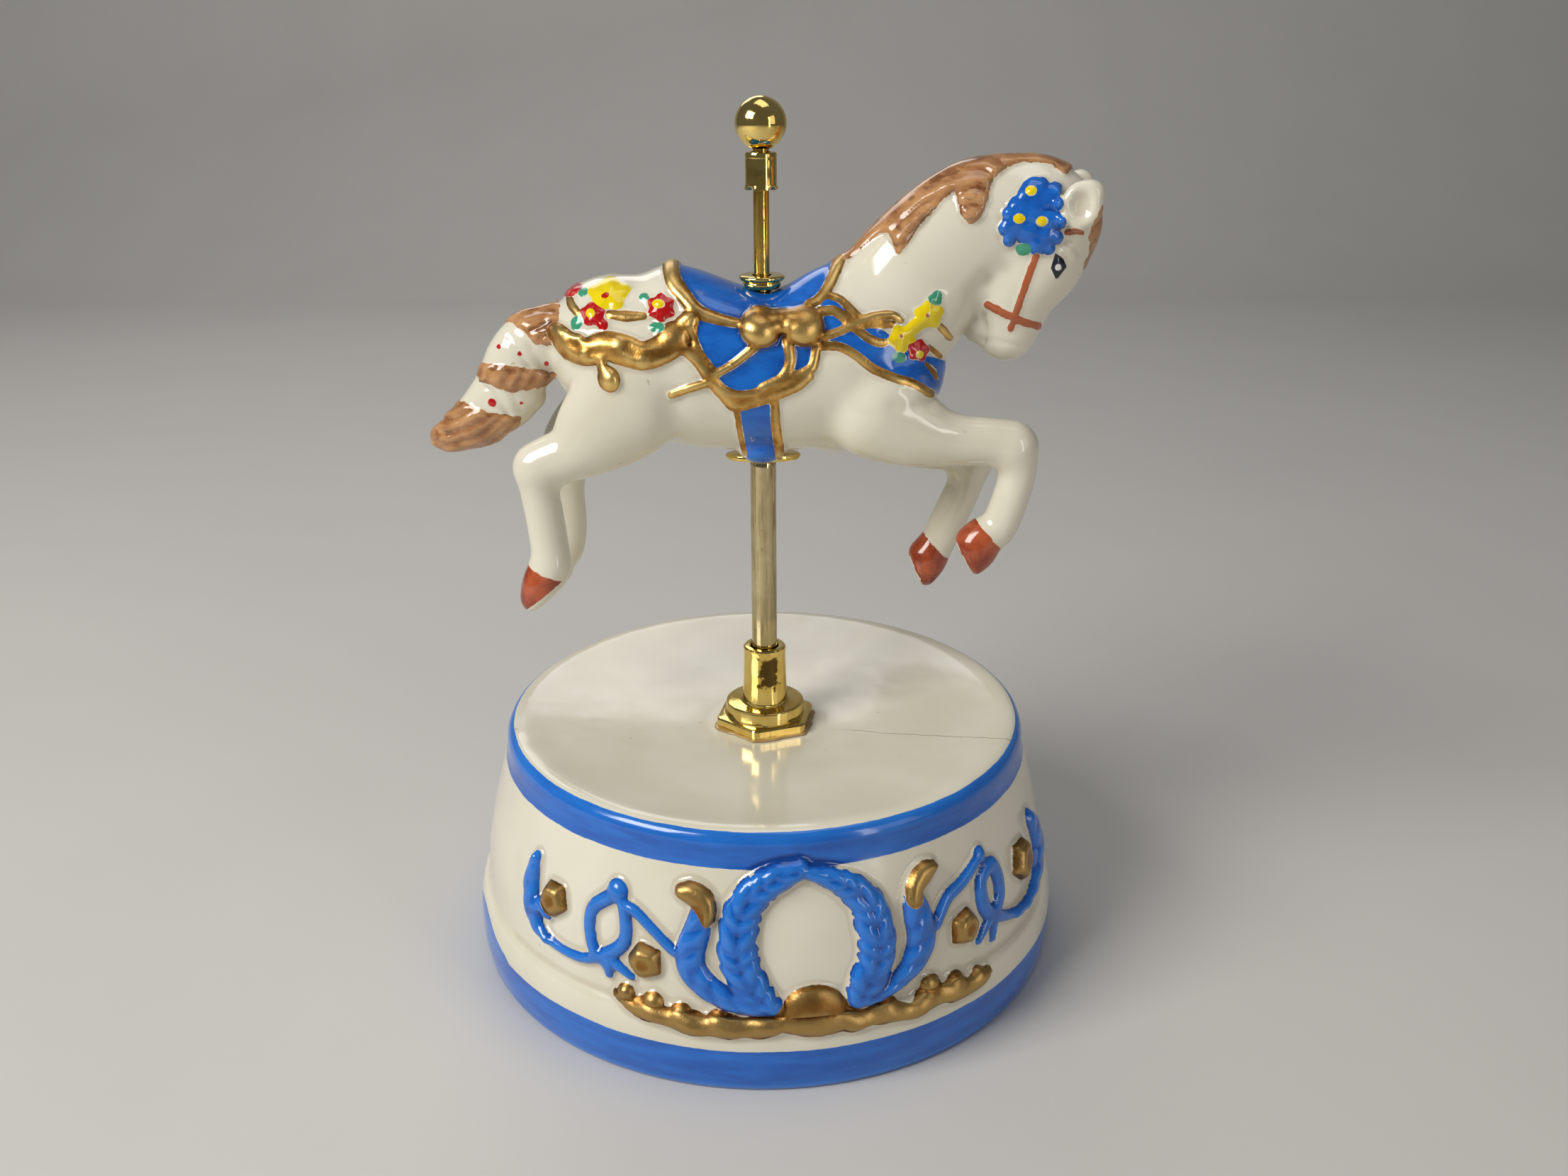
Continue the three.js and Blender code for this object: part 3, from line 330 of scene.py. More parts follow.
def store(mesh, name, columns):
    """Keeps three numbers per vertex for the material."""
    layer = mesh.attributes.new(name, "FLOAT_VECTOR", "POINT")
    layer.data.foreach_set("vector", np.stack(columns, 1).astype(np.float32).ravel())


def lathe(name, profile, body, slot_name, nodes, around=96, sharp=40.0, radius=None, turn=0.0):
    """A turned piece. The profile's ends on the axis are closed, and any other profile is a loop."""
    rows = [(float(r), float(z)) for r, z in profile]
    closed = rows[0][0] > 1e-6
    angles = turn + np.arange(around) * 2 * math.pi / around
    points, index = [], []
    for i, (r, z) in enumerate(rows):
        if r < 1e-6:
            index.append([len(points)] * around)
            points.append((0, 0, z))
            continue
        reach = np.full(around, r) if radius is None else radius(i, r, angles)
        index.append(list(range(len(points), len(points) + around)))
        points.extend(zip(reach * np.sin(angles), -reach * np.cos(angles), np.full(around, z)))
    faces = []
    count = len(rows)
    for i in range(count if closed else count - 1):
        upper = index[i]
        lower = index[(i + 1) % count]
        for j in range(around):
            k = (j + 1) % around
            face = [upper[j], lower[j], lower[k], upper[k]]
            faces.append([v for n, v in enumerate(face) if v not in face[:n]])
    swept = sum(a[0] * b[1] - b[0] * a[1] for a, b in zip(rows, rows[1:] + rows[:1]))
    if swept > 0:
        faces = [face[::-1] for face in faces]
    return make(name, points, faces, body, slot_name, nodes, sharp)


# ------------------------------------------------------------------ the horse

HORSE_STEP = 0.48
HORSE_LOW = (-61.6, -17.0, 65.0)
HORSE_HIGH = (61.0, 17.0, 152.0)
LEG_Y = 8.5
BORE_RADIUS = 1.75
SOLE_FILLET = 0.8
HIND_RIM = 1.4  # bare glaze between the paint and the sole
FORE_RIM = 0.3
HOOF_REACH = 8.5
# The eye's glint, a painted highlight: x, z and radius in the elevation drawing.
PUPIL_GLINT = (52.2, 130.5, 0.62)
HORSE_COLOURS = ("blue", "gold", "brown", "hoof", "red", "yellow", "green", "rust", "navy")

# Stations of the body and the legs: x, z, half thickness in the drawing, and half width along y.
TORSO = [
    (-22.3, 114.8, 12.4, 12.2), (-19.8, 114.3, 15.1, 13.5), (-14, 113.4, 14.4, 14), (-6, 112.2, 13.8, 13.8),
    (2, 111.6, 13.6, 13.6), (10, 112.4, 14, 13.2), (15.5, 112, 14.6, 12.8), (20, 111.6, 12.2, 11.4),
]
SADDLE = [
    (-15.5, 123.3, 8, 10.5), (-12.5, 122.4, 8, 11.5), (-6, 119.8, 8.2, 12.6), (1, 118.4, 8.2, 12.8),
    (7, 119.8, 8.2, 11.8), (12, 122.2, 8.3, 9.8), (14, 122.8, 8, 8.6),
]
NECK = [
    (16, 118, 12.5, 11.5), (23.6, 123.5, 12.4, 9.8), (29, 129.8, 12, 8.4), (34, 134.5, 11.6, 7.6),
    (39, 138, 10.8, 7.2), (46, 139.3, 9.9, 7.2),
]
HEAD = [
    (49.5, 138.3, 9.3, 7.3), (48.3, 132.5, 8.6, 7.4), (46, 127, 6.6, 6.8), (44.2, 122.5, 6.2, 5.6),
    (43, 119.3, 5, 4.8),
]
TAIL = [
    (-33, 118.2, 5.5, 5), (-37.5, 118.6, 5.4, 5.2), (-41.2, 117.1, 5.9, 5.2), (-43.4, 114.5, 6.1, 5.2),
    (-44.9, 111.4, 6.0, 5), (-46.1, 108.6, 6.2, 5), (-49, 105.8, 5.5, 4.4), (-52.6, 103.1, 4.4, 3.7),
    (-56.2, 101.1, 3, 2.7), (-58.4, 100.5, 1.9, 1.9),
]
NEAR_HIND = [
    (-22.8, 108, 11, 6.2), (-28.8, 102.6, 8.6, 5.6), (-34.2, 97.9, 5.5, 4.8), (-38.5, 96, 4.9, 4.4),
    (-41.3, 94.6, 4.6, 4),
]
NEAR_HIND_CANNON = [
    (-41.3, 94.6, 4.5, 4), (-41.4, 90, 3.7, 3.5), (-40.8, 85, 3.6, 3.4), (-40.3, 80, 3.6, 3.4),
    (-40, 76.5, 3.7, 3.5),
]
NEAR_HIND_HOOF = [(-40.6, 74.5, 4.1, 3.9), (-41.8, 71.8, 4.1, 4.1), (-42.9, 69.2, 3.6, 3.8)]
FAR_HIND = [(-21.6, 108.8, 10.5, 6), (-28.4, 104, 8.2, 5.4), (-33.8, 100.8, 5.8, 4.6), (-36, 97.8, 4.8, 4.2)]
FAR_HIND_CANNON = [
    (-36.9, 96, 4.4, 4), (-36.8, 90, 3.7, 3.5), (-36.6, 84, 3.6, 3.4), (-37.2, 79.6, 3.6, 3.4),
    (-38.3, 77.6, 3.5, 3.4),
]
FAR_HIND_HOOF = [(-40, 74.3, 3.8, 3.8), (-41.5, 71.5, 3.4, 3.8)]
NEAR_FORE = [
    (21.6, 104.8, 9.4, 6.2), (26, 102.2, 7.6, 5.6), (31, 100.3, 5.7, 5), (36, 99.3, 4.8, 4.4),
    (41, 99, 4.5, 4.1), (45.5, 98.3, 4.7, 4),
]
NEAR_FORE_CANNON = [
    (46.3, 97.5, 4.5, 3.9), (47, 93, 3.6, 3.5), (46.2, 88.5, 3.5, 3.3), (44.8, 84, 3.5, 3.3),
    (43.8, 81.8, 3.4, 3.3),
]
NEAR_FORE_HOOF = [(41.3, 80.6, 3.8, 3.7), (39.9, 78.3, 4.4, 4.1), (38.9, 75.8, 3.2, 3.6)]
FAR_FORE = [
    (20, 105.5, 9.6, 6), (25, 102, 7.3, 5.4), (30, 100, 6, 5), (35, 98.5, 5, 4.5), (38.3, 96.5, 4.6, 4.2),
]
FAR_FORE_CANNON = [
    (38, 95, 4.2, 4), (37.4, 91, 3.4, 3.4), (36, 87.2, 3.4, 3.4), (34.3, 83.3, 3.4, 3.3),
    (33.2, 80.4, 3.3, 3.3),
]
FAR_FORE_HOOF = [(31.8, 78, 3.6, 3.6), (30.8, 76.2, 3.9, 3.9), (30.0, 73.9, 3.2, 3.5)]

LEGS = [
    (-1, NEAR_HIND, NEAR_HIND_CANNON, NEAR_HIND_HOOF), (1, FAR_HIND, FAR_HIND_CANNON, FAR_HIND_HOOF),
    (-1, NEAR_FORE, NEAR_FORE_CANNON, NEAR_FORE_HOOF), (1, FAR_FORE, FAR_FORE_CANNON, FAR_FORE_HOOF),
]

# Each hoof: side, centre, crown line's two points, and the sole's point with its outward direction.
HOOVES = [
    (-1, (-41.5, 72), (-44, 75.8), (-36.8, 72.7), (-40.4, 69.4), (0.63, -0.78)),
    (1, (-40.6, 73), (-43.3, 76.6), (-36.6, 74.2), (-40.4, 69.8), (0.63, -0.78)),
    (-1, (39.8, 78), (40.6, 83.2), (44.3, 79), (37.6, 76.7), (-0.87, -0.5)),
    (1, (30.8, 76), (31.3, 80.3), (34.9, 76.4), (28.4, 74.5), (-0.9, -0.42)),
]

# Outlines and strokes in the elevation drawing: x, z and, for a stroke, its half width.
MANE = [
    (14, 131.5), (17, 133.5), (20, 136), (22, 136.5), (23.8, 133.2), (25, 134), (27, 137), (30, 140.5),
    (33, 143.5), (33.9, 142), (34.7, 139.4), (36.3, 138.1), (38.2, 139.2), (39.3, 142), (39.6, 144.6),
    (41.5, 146.9), (45, 148.3), (50, 147.8), (52.5, 146.2), (54, 151), (30, 151.5), (9, 140),
]
FORELOCK = [(56.6, 130), (57.3, 133), (57.2, 136.6), (58.1, 138.8), (59.1, 141), (62, 141.5), (62, 130)]
TAIL_BANDS = [
    [(-46, 121.5), (-44.8, 121.3), (-42.5, 120), (-40.5, 117.3), (-37.2, 117.2), (-36.2, 120), (-35.6, 124),
     (-36.4, 128), (-46, 128)],
    [(-52, 114.5), (-49.3, 114), (-46, 113.5), (-40, 112.8), (-37, 112), (-37.5, 110), (-41.5, 109.2),
     (-46, 108.7), (-51, 110.8)],
    [(-57, 108), (-54.2, 107), (-50, 105), (-45.5, 104.4), (-43.6, 104.6), (-44.4, 102.4), (-46.8, 100.6),
     (-48, 96), (-62, 96), (-62, 106)],
]
TAIL_FURROWS = [
    [(-45, 119), (-43, 115.5), (-42, 113.5)], [(-41.5, 117), (-40.3, 114.5), (-39.8, 113)],
    [(-49.5, 110), (-47.5, 107.5), (-46.5, 105)], [(-46, 109), (-44.6, 107), (-44, 105.4)],
]
GIRTH = [(-4.2, 105.5), (2, 106.8), (2.6, 96), (2.6, 94), (-3, 94), (-3, 97)]
FLAP = [
    (-12.5, 122.5), (-4, 121.5), (9.5, 121.5), (9.5, 116), (8.8, 113), (4, 110), (-3, 107.5), (-6, 108.5),
    (-9.5, 112.5), (-11.7, 117),
]
SEAT = [
    (-16, 131), (-15.5, 128.5), (-13.5, 125.5), (-11.5, 123.2), (-8, 121.8), (-4.5, 121), (8.2, 122.5),
    (10, 125.2), (11.8, 127.5), (13.5, 131), (13.5, 138), (-16, 138),
]
COLLAR = [
    (10.3, 126), (13, 125.7), (16.3, 122.3), (20, 120.5), (24, 118), (28, 115.5), (33, 114), (34.5, 112),
    (32, 107.6), (31, 108.2), (28, 109.5), (25, 111), (20, 112.8), (17, 115), (13, 117), (10, 117.3),
]
SWAG = [
    (-36.5, 119.5, 1.6), (-34, 116.8, 2.2), (-31, 116, 2.3), (-28, 117, 2.4), (-25, 116.3, 2.6),
    (-21.5, 115.2, 2.3), (-18, 116.3, 2.4), (-15, 118.5, 2.4), (-13, 121.5, 1.6),
]
GOLD_LINES = [
    ([(-16, 131.5, 1.5), (-15.5, 128.5, 1.5), (-13.5, 125.5, 1.4), (-11.5, 123.2, 1.3), (-8, 121.8, 1.1),
      (-4.5, 121, 0.9)], 1.0),
    ([(13.6, 132, 1.1), (11.8, 127.5, 1), (10, 125.2, 0.9), (8.2, 124.3, 0.8)], 0.8),
    ([(-12.6, 121, 1), (-12.3, 118, 0.9), (-11.3, 115.3, 1), (-9.4, 112.6, 1)], 0.8),
    ([(-14, 116.5, 1.1), (-11.5, 114.2, 1.2), (-9.5, 111.2, 1.2), (-7.5, 109, 1.1), (-5, 107.8, 1.1),
      (-2, 108, 1), (1.5, 109.3, 1), (5, 110.8, 1), (8.5, 112.5, 1), (9.3, 114, 0.9), (9.8, 117, 0.9)], 0.9),
    ([(-9, 110.3, 1.2), (-6.5, 107.4, 1.2), (-5, 106.1, 1.2), (-2, 106.6, 1.1), (2, 107.8, 1.1), (6, 109.4, 1),
      (8.5, 111.2, 0.8)], 0.85),
    ([(-1, 117, 0.9), (-5, 113.8, 0.8), (-9, 111.5, 0.8)], 1.1),
    ([(-9.5, 110.3, 0.8), (-13, 109.3, 0.8), (-16.5, 108, 0.7)], 1.0),
    ([(4.5, 118, 1), (5, 114, 1), (3.5, 111, 1), (0, 109.3, 0.9)], 1.0),
    ([(-4.7, 104.8, 0.55), (-4.2, 101, 0.5), (-3.4, 97, 0.5)], 0.35),
    ([(2.2, 106.5, 0.8), (2.4, 102, 0.9), (3.2, 96.5, 0.9)], 0.5),
    ([(10.5, 116.8, 0.85), (14, 116.6, 0.85), (17, 114.9, 0.85), (20, 112.6, 0.85), (24, 110.9, 0.85),
      (27, 110, 0.8), (30.5, 108, 0.8)], 0.6),
    ([(11.5, 126, 0.7), (14, 125, 0.7), (16.5, 122.5, 0.8), (18, 121, 0.7)], 0.7),
    ([(10.5, 123, 0.9), (13, 123, 0.9), (15.5, 121, 0.9), (18.5, 118.5, 0.8), (21, 117.3, 0.8),
      (22.8, 117.6, 0.6)], 0.9),
    ([(11, 118.5, 0.9), (14, 119.5, 0.8), (17, 121, 0.9), (20, 122, 0.9), (23, 122.3, 0.8),
      (24.7, 121.3, 0.6)], 1.1),
    ([(17, 120.7, 0.7), (20.5, 120.6, 0.7), (23, 120.6, 0.7), (23.6, 119.7, 0.5)], 0.7),
    ([(-27, 122.6, 0.8), (-24, 122.3, 1), (-21, 122.3, 0.7)], 0.5),
    ([(-34, 125.7, 0.6), (-33.6, 124.2, 0.8), (-32.6, 122.8, 0.7)], 0.5),
    ([(31, 121, 0.6), (32.3, 119.6, 0.7), (33.6, 118.2, 0.6)], 0.5),
    ([(30, 116.5, 0.5), (32, 114.8, 0.5)], 0.3),
    ([(30, 113, 0.35), (31.5, 110.8, 0.35)], 0.3),
    ([(29.5, 113.5, 0.35), (31.2, 112, 0.35)], 0.3),
]
GOLD_KNOTS = [
    (-27.7, 111, 2.0, 1.5, 1.25, -75), (-25.8, 117.2, 2.2, 1.5, 1, 0), (-32, 115.8, 1.8, 1.4, 1, 0),
    (-21.5, 114.6, 2.1, 1.4, 1.2, 0), (-16, 118.6, 2.6, 1.5, 1.3, 40), (-0.3, 120.3, 3.8, 2.7, 1, 0),
    (7.4, 120.4, 3.7, 2.6, 1, 0),
]
LEAVES = [(-32.9, 121.2, 1.0, 60), (-31.5, 126.6, 0.7, 30), (-18.7, 120.3, 1.0, 5), (-20.8, 125.7, 0.7, 0)]
TAIL_SPOTS = [
    (-47, 117, 0.45), (-43.4, 115.7, 0.5), (-38.7, 113.9, 0.5), (-49, 106.8, 0.8), (-43.7, 106.7, 0.4),
]
BLOSSOMS = [
    (47.3, 143.2, 2.6), (49.4, 142.3, 2.2), (44.9, 140.6, 2.3), (44.4, 137.8, 2.5), (47, 139.8, 2.6),
    (50, 138.6, 2.2), (49.7, 135.9, 2.2), (46.6, 136.6, 2.4), (48.3, 134.3, 1.6),
]
CREST = [
    (12, 130), (15, 134), (18, 136), (22, 140), (26, 144.5), (30, 147.5), (34, 149.5), (38, 150.4), (42, 150.2),
    (46, 149.8), (50, 149), (53, 147.5), (58, 142), (60, 136), (58, 130),
]
BUDS = [
    (45.5, 142.9, 1.2), (50.6, 143.7, 1.3), (51.2, 141.4, 1.1), (48.2, 144.2, 1.5), (43, 139.8, 1.1),
    (42.5, 137.2, 1.1), (43.3, 135.2, 1.0), (51.9, 138.2, 1.1), (51.6, 135.6, 1.1), (50.4, 133.8, 1.0),
    (47.5, 134.6, 1.0),
]


def add_strands(sheet, low, high, guide, lean, size, depth, fade=-9):
    """Combed grooves where the sheet is brown, along the guide line and leaning away from it.

    They reach their full depth 3 mm further from the guide line than fade.
    """
    win, x, z = sheet.window([low, high], 0)
    d, _, run, side = nearest(curve([(*p[:2], 0.0) for p in guide]), x, z)
    across = d * side + lean * run + 0.7 * weave(x, z, 12) + 0.25 * weave(z, x, 5)
    comb = np.abs(np.sin(math.pi * across / size)) ** 0.6
    fine = np.abs(np.sin(math.pi * across / size * 2.3 + 1))
    brown = np.clip(sheet.paint["brown"][win] / 0.9, 0, 1) * np.clip((d - fade) / 3, 0.15, 1)
    sheet.height[win] += brown * depth * (comb + 0.25 * fine - 0.7)


def draw_horse():
    """Saddlery, flowers, mane and face, as seen in elevation on the near side."""
    d = Drawing(-62, 62, 64, 153, 0.2, HORSE_COLOURS)
    d.area(MANE, "brown", 0.7, 1.0, per=3)
    d.area(FORELOCK, "brown", 0.15, 0.6)
    add_strands(d, (12, 128), (55, 152), CREST, 0.2, 3.1, 0.95, 0.2)
    for band in TAIL_BANDS:
        d.area(band, "brown", 0.3, 0.8)
    add_strands(d, (-61, 97), (-34, 128), TAIL, 0.08, 2.2, 0.75)
    d.area(SEAT, "blue", 0.0)
    d.area(FLAP, "blue", 0.35, 0.8)
    d.area(GIRTH, "blue", 0.3, 0.6)
    d.area(COLLAR, "blue", 0.5, 0.9)
    for line, height in GOLD_LINES:
        d.stroke([(x, z, w * 0.98) for x, z, w in line], None, "gold", height * 0.86)
    d.stroke([(x, z, w * 1.12) for x, z, w in SWAG], None, "gold", 1.3, "cloth")
    d.stroke([(-36.9, 120, 1.2), (-35.2, 118.9, 1.1), (-32.5, 118.4, 0.8)], None, "gold", 1.6, "beads")
    d.stroke([(-28.9, 115.5, 1), (-28.7, 113, 1), (-28.2, 111.5, 1.3)], None, "gold", 1.0)
    for x, z, r, height, stretch, turn in GOLD_KNOTS:
        d.blob(x, z, r, "gold", height, stretch=stretch, turn=turn)
    d.stroke([(1.8, 121.2, 2.4), (5.2, 121.2, 2.4)], None, "gold", 2.2)
    draw_flowers(d)
    draw_face(d)
    d.groove([(-17.3, 98.5), (-16.8, 103), (-16.4, 107)], 2.6, 0.6)
    d.groove([(40.1, 116.8), (40.4, 119.4), (39.6, 122.4)], 0.55, 0.4)
    d.groove([(30.2, 106), (27, 105), (24, 105.6)], 1.4, 0.3)
    d.groove([(-12.8, 117.5), (-13.3, 119.6)], 0.5, 0.6)
    d.groove([(3.3, 117.6), (3.5, 120), (3.5, 123)], 0.7, 0.4)
    for line in TAIL_FURROWS:
        d.groove(line, 0.8, 0.35)
    d.soften(2)
    return d


def draw_flowers(d):
    """Painted flowers on the croup and the chest, and the spots on the tail."""
    d.blob(-27, 126.2, 2.8, "yellow", 0.7, petals=5, stretch=1.3, turn=15)
    d.blob(-27.6, 126, 0.55, "red", 0.9, stretch=1.5, turn=20)
    d.blob(-30, 122.6, 2.1, "red", 0.9, petals=5, turn=20)
    d.blob(-30.4, 122.9, 0.8, "yellow", 1.0)
    d.blob(-28.3, 120.8, 1.0, "red", 0.6)
    d.blob(-17.9, 123.8, 2.4, "red", 1.0, petals=6, turn=30)
    d.blob(-18.3, 124.5, 0.8, "yellow", 1.2, stretch=1.4)
    d.blob(-33.4, 127, 1.0, "red", 0.6, stretch=1.9, turn=25)
    for x, z, r, turn in LEAVES:
        d.blob(x, z, r, "green", 0.4, stretch=1.4, turn=turn)
    d.stroke([(25.2, 118.3, 1.2), (27.4, 120.4, 1.3), (29.6, 122.2, 1.2)], None, "yellow", 0.8)
    d.blob(29.7, 122.3, 2.5, "yellow", 1.0, petals=5, turn=20)
    d.blob(25.1, 118.1, 2.5, "yellow", 1.0, petals=5, turn=50)
    for x, z in ((29.5, 122.2), (24.9, 118.5)):
        d.blob(x, z, 0.45, "rust", 1.2)
    d.blob(28, 115.9, 1.9, "red", 0.9, petals=5, turn=10)
    d.blob(28.3, 115.2, 0.7, "yellow", 1.1)
    d.blob(30.8, 125.2, 1.2, "green", 0.4, petals=3, stretch=1.1, turn=65)
    d.blob(24.6, 114.7, 1.0, "green", 0.6, stretch=1.3, turn=-20)
    for x, z, r in TAIL_SPOTS:
        d.blob(x, z, r, "red", 0.15)


def draw_face(d):
    """The cluster of blue blossoms, the bridle, the eye and the lines of the jaw."""
    for x, z, r in BLOSSOMS:
        d.blob(x, z, r + 0.1, "blue", 1.3)
    for x, z, r in BUDS:
        d.blob(x, z, r + 0.15, "blue", 1.3)
    for x, z in ((46.6, 143.6), (44.8, 138.9), (48.8, 138.4)):
        d.blob(x, z, 0.85, "yellow", 1.75, stretch=1.2)
    d.blob(45.8, 133.6, 1.1, "green", 0.5, stretch=1.3)
    d.stroke([(48.2, 132.4), (46.8, 128), (45.2, 122.5), (44.4, 119.8)], 0.62, "rust", 0.35)
    d.stroke([(40, 124), (43, 122.5), (46, 121.1), (49.4, 120.2)], 0.66, "rust", 0.35)
    d.stroke([(53.2, 136.5), (54.6, 136.7), (56, 136.4)], 0.45, "rust", 0.3)
    d.stroke([(51.5, 133.3, 0.9), (53.6, 133.4, 0.8), (55, 132.2, 0.6)], None, None, 0.35)
    d.area([(51.5, 133.1), (53, 132), (53.7, 130.6), (52, 128.2), (50.9, 130.4)], "navy", 0.3, 0.6)
    d.groove([(36.2, 119.6), (37, 123.5), (37.6, 126.5), (39.6, 129)], 1.3, 0.5)
    d.groove([(37.6, 118.3), (40.5, 117.7), (43.6, 117.2), (46.4, 116.6)], 0.4, 0.3)
    d.groove([(50.6, 134), (54, 134.9)], 0.6, 0.25)


def smooth_min(a, b, k):
    """The lesser of two fields, with a fillet of about k mm where they meet."""
    h = np.clip(0.5 + 0.5 * (a - b) / k, 0, 1)
    return a * (1 - h) + b * h - k * h * (1 - h)


def station_scale(y):
    """How much larger a thing at this y is than it shows in the elevation drawing."""
    return (y - STATION_Y) / -STATION_Y


def from_drawing(x, z, y):
    """The place at this y that shows at x, z in the elevation drawing."""
    t = station_scale(y)
    return x * t, STATION_Z + (z - STATION_Z) * t


def to_drawing(x, y, z):
    """Where a place shows in the elevation drawing."""
    t = station_scale(y)
    return x / t, STATION_Z + (z - STATION_Z) / t


class Volume:
    """The horse as a signed distance field on a grid, negative inside."""

    def __init__(self):
        spans = [np.arange(a, b, HORSE_STEP, dtype=np.float32) for a, b in zip(HORSE_LOW, HORSE_HIGH)]
        self.x, self.y, self.z = spans
        self.field = np.full([len(s) for s in spans], 9.0, np.float32)

    def block(self, low, high):
        """The slices of the grid that cover a box."""
        cuts = []
        for span, a, b in zip((self.x, self.y, self.z), low, high):
            i = int(np.clip((a - span[0]) / HORSE_STEP, 0, len(span) - 1))
            j = int(np.clip((b - span[0]) / HORSE_STEP + 2, 1, len(span)))
            cuts.append(slice(i, j))
        return tuple(cuts)

    def limb(self, stations, y0=0.0, k=2.2):
        """Stations are x, z, half thickness in the elevation drawing, and half width along y."""
        line = curve(stations, 10)
        line[:, 0], line[:, 1] = from_drawing(line[:, 0], line[:, 1], y0)
        line[:, 2] *= station_scale(y0)
        reach = line[:, 2].max() + 5
        wide = line[:, 3].max() + 5
        low = (line[:, 0].min() - reach, y0 - wide, line[:, 1].min() - reach)
        high = (line[:, 0].max() + reach, y0 + wide, line[:, 1].max() + reach)
        cut = self.block(low, high)
        x, z = np.meshgrid(self.x[cut[0]], self.z[cut[2]], indexing="ij")
        d, (h, w), _, _ = nearest(line, x, z)
        d = d[:, None, :]
        h = h[:, None, :]
        w = w[:, None, :]
        dy = np.abs(self.y[cut[1]] - y0)[None, :, None]
        q = np.sqrt((d / h) ** 2 + (dy / w) ** 2) + 1e-3
        slope = np.sqrt((d / h**2) ** 2 + (dy / w**2) ** 2) + 1e-3
        part = np.maximum((q - 1) * q / slope, -np.minimum(h, w))
        self.field[cut] = smooth_min(self.field[cut], part.astype(np.float32), k)

    def lump(self, centre, radii, k=1.5, y=0.0, carve=False):
        """An ellipsoid, put in or taken away. The centre's x and z are in the elevation drawing."""
        x0, z0 = from_drawing(*centre, y)
        reach = max(radii) + 4
        cut = self.block((x0 - reach, y - reach, z0 - reach), (x0 + reach, y + reach, z0 + reach))
        dx = (self.x[cut[0]] - x0)[:, None, None]
        dy = (self.y[cut[1]] - y)[None, :, None]
        dz = (self.z[cut[2]] - z0)[None, None, :]
        a, b, c = radii
        q = np.sqrt((dx / a) ** 2 + (dy / b) ** 2 + (dz / c) ** 2) + 1e-3
        slope = np.sqrt((dx / a**2) ** 2 + (dy / b**2) ** 2 + (dz / c**2) ** 2) + 1e-3
        part = (q - 1) * q / slope
        if carve:
            self.field[cut] = -smooth_min(-self.field[cut], part, k)
        else:
            self.field[cut] = smooth_min(self.field[cut], part.astype(np.float32), k)

    def soften(self, rounds):
        """Evens out the creases between the parts."""
        for _ in range(rounds):
            for axis in range(3):
                f = np.moveaxis(self.field, axis, 0)
                f[1:-1] = 0.25 * (f[:-2] + f[2:]) + 0.5 * f[1:-1]


def elevation(x, y, z):
    """Where a point shows in the elevation drawing. The far side mirrors the near one."""
    return to_drawing(x, -np.abs(y), z)


def shape_horse(sheet):
    """The horse's body from limbs and lumps, with the sheet's relief on it and the pole's bore through it."""
    v = Volume()
    v.limb(TORSO)
    v.limb(SADDLE, k=1.6)
    v.limb(NECK, k=3.0)
    v.limb(HEAD, k=2.2)
    v.lump((43.6, 126.6), (6.8, 6.6, 7.2), 1.5)
    v.lump((44.3, 118.6), (4.3, 4.3, 4.2), 1.5)
    v.lump((38.0, 120.2), (2.3, 2.8, 3.0), 0.9)
    for side, z in ((-1, 98.3), (1, 100.2)):
        v.lump((-0.3, z), (4.4, 4.0, 2.6), 0.9, side * 5.6)
    v.lump((55.2, 138.0), (3.6, 4.0, 5.4), 1.5)
    v.lump((-26.6, 117.3), (11.6, 11.4, 12.2), 2.0)
    v.limb(TAIL, k=1.4)
    v.lump((-41.4, 107.8), (2.2, 3.0, 2.0), 1.2)
    for side, thigh, cannon, _ in LEGS:
        v.limb(thigh, side * LEG_Y, 1.4)
        v.limb(cannon, side * LEG_Y, 1.2)
    for side, _, _, hoof in LEGS:
        v.limb(hoof, side * LEG_Y, 1.0)
    for side, centre, _, _, point, outward in HOOVES:
        cut_sole(v, side, centre, point, outward)
    v.lump((55.6, 141.0), (3.6, 2.3, 4.2), 0.5, -8.4)
    v.lump((57.3, 143.3), (2.2, 1.7, 2.1), 1.2, -8.3)
    v.lump((55.7, 141.0), (2.6, 2.6, 3.4), 0.4, -11.2, carve=True)
    v.lump((55.0, 143.6), (3.0, 2.2, 3.8), 0.9, 6.0)
    v.lump((55.2, 143.4), (1.8, 1.5, 2.7), 0.7, 8.0, carve=True)
    v.soften(2)
    near = np.abs(v.field) < 4.5
    i, j, k = np.nonzero(near)
    xe, ze = elevation(v.x[i], v.y[j], v.z[k])
    v.field[near] -= sheet.read(sheet.height, xe, ze)
    bore = np.hypot(v.x[:, None], v.y[None, :]) - BORE_RADIUS
    v.field = np.maximum(v.field, -bore[:, :, None])
    return v


def cut_sole(v, side, centre, point, outward):
    """Cuts the hoof off flat at the sole."""
    leg_y = side * LEG_Y
    x0, z0 = from_drawing(*centre, leg_y)
    cut = v.block((x0 - 9, leg_y - 6, z0 - 9), (x0 + 9, leg_y + 6, z0 + 6))
    sole_x, sole_z = from_drawing(*point, leg_y)
    dx = (v.x[cut[0]] - sole_x)[:, None, None]
    dz = (v.z[cut[2]] - sole_z)[None, None, :]
    beyond = dx * outward[0] + dz * outward[1]
    v.field[cut] = -smooth_min(-v.field[cut], -beyond, SOLE_FILLET)


CORNERS = [(a, b, c) for a in (0, 1) for b in (0, 1) for c in (0, 1)]


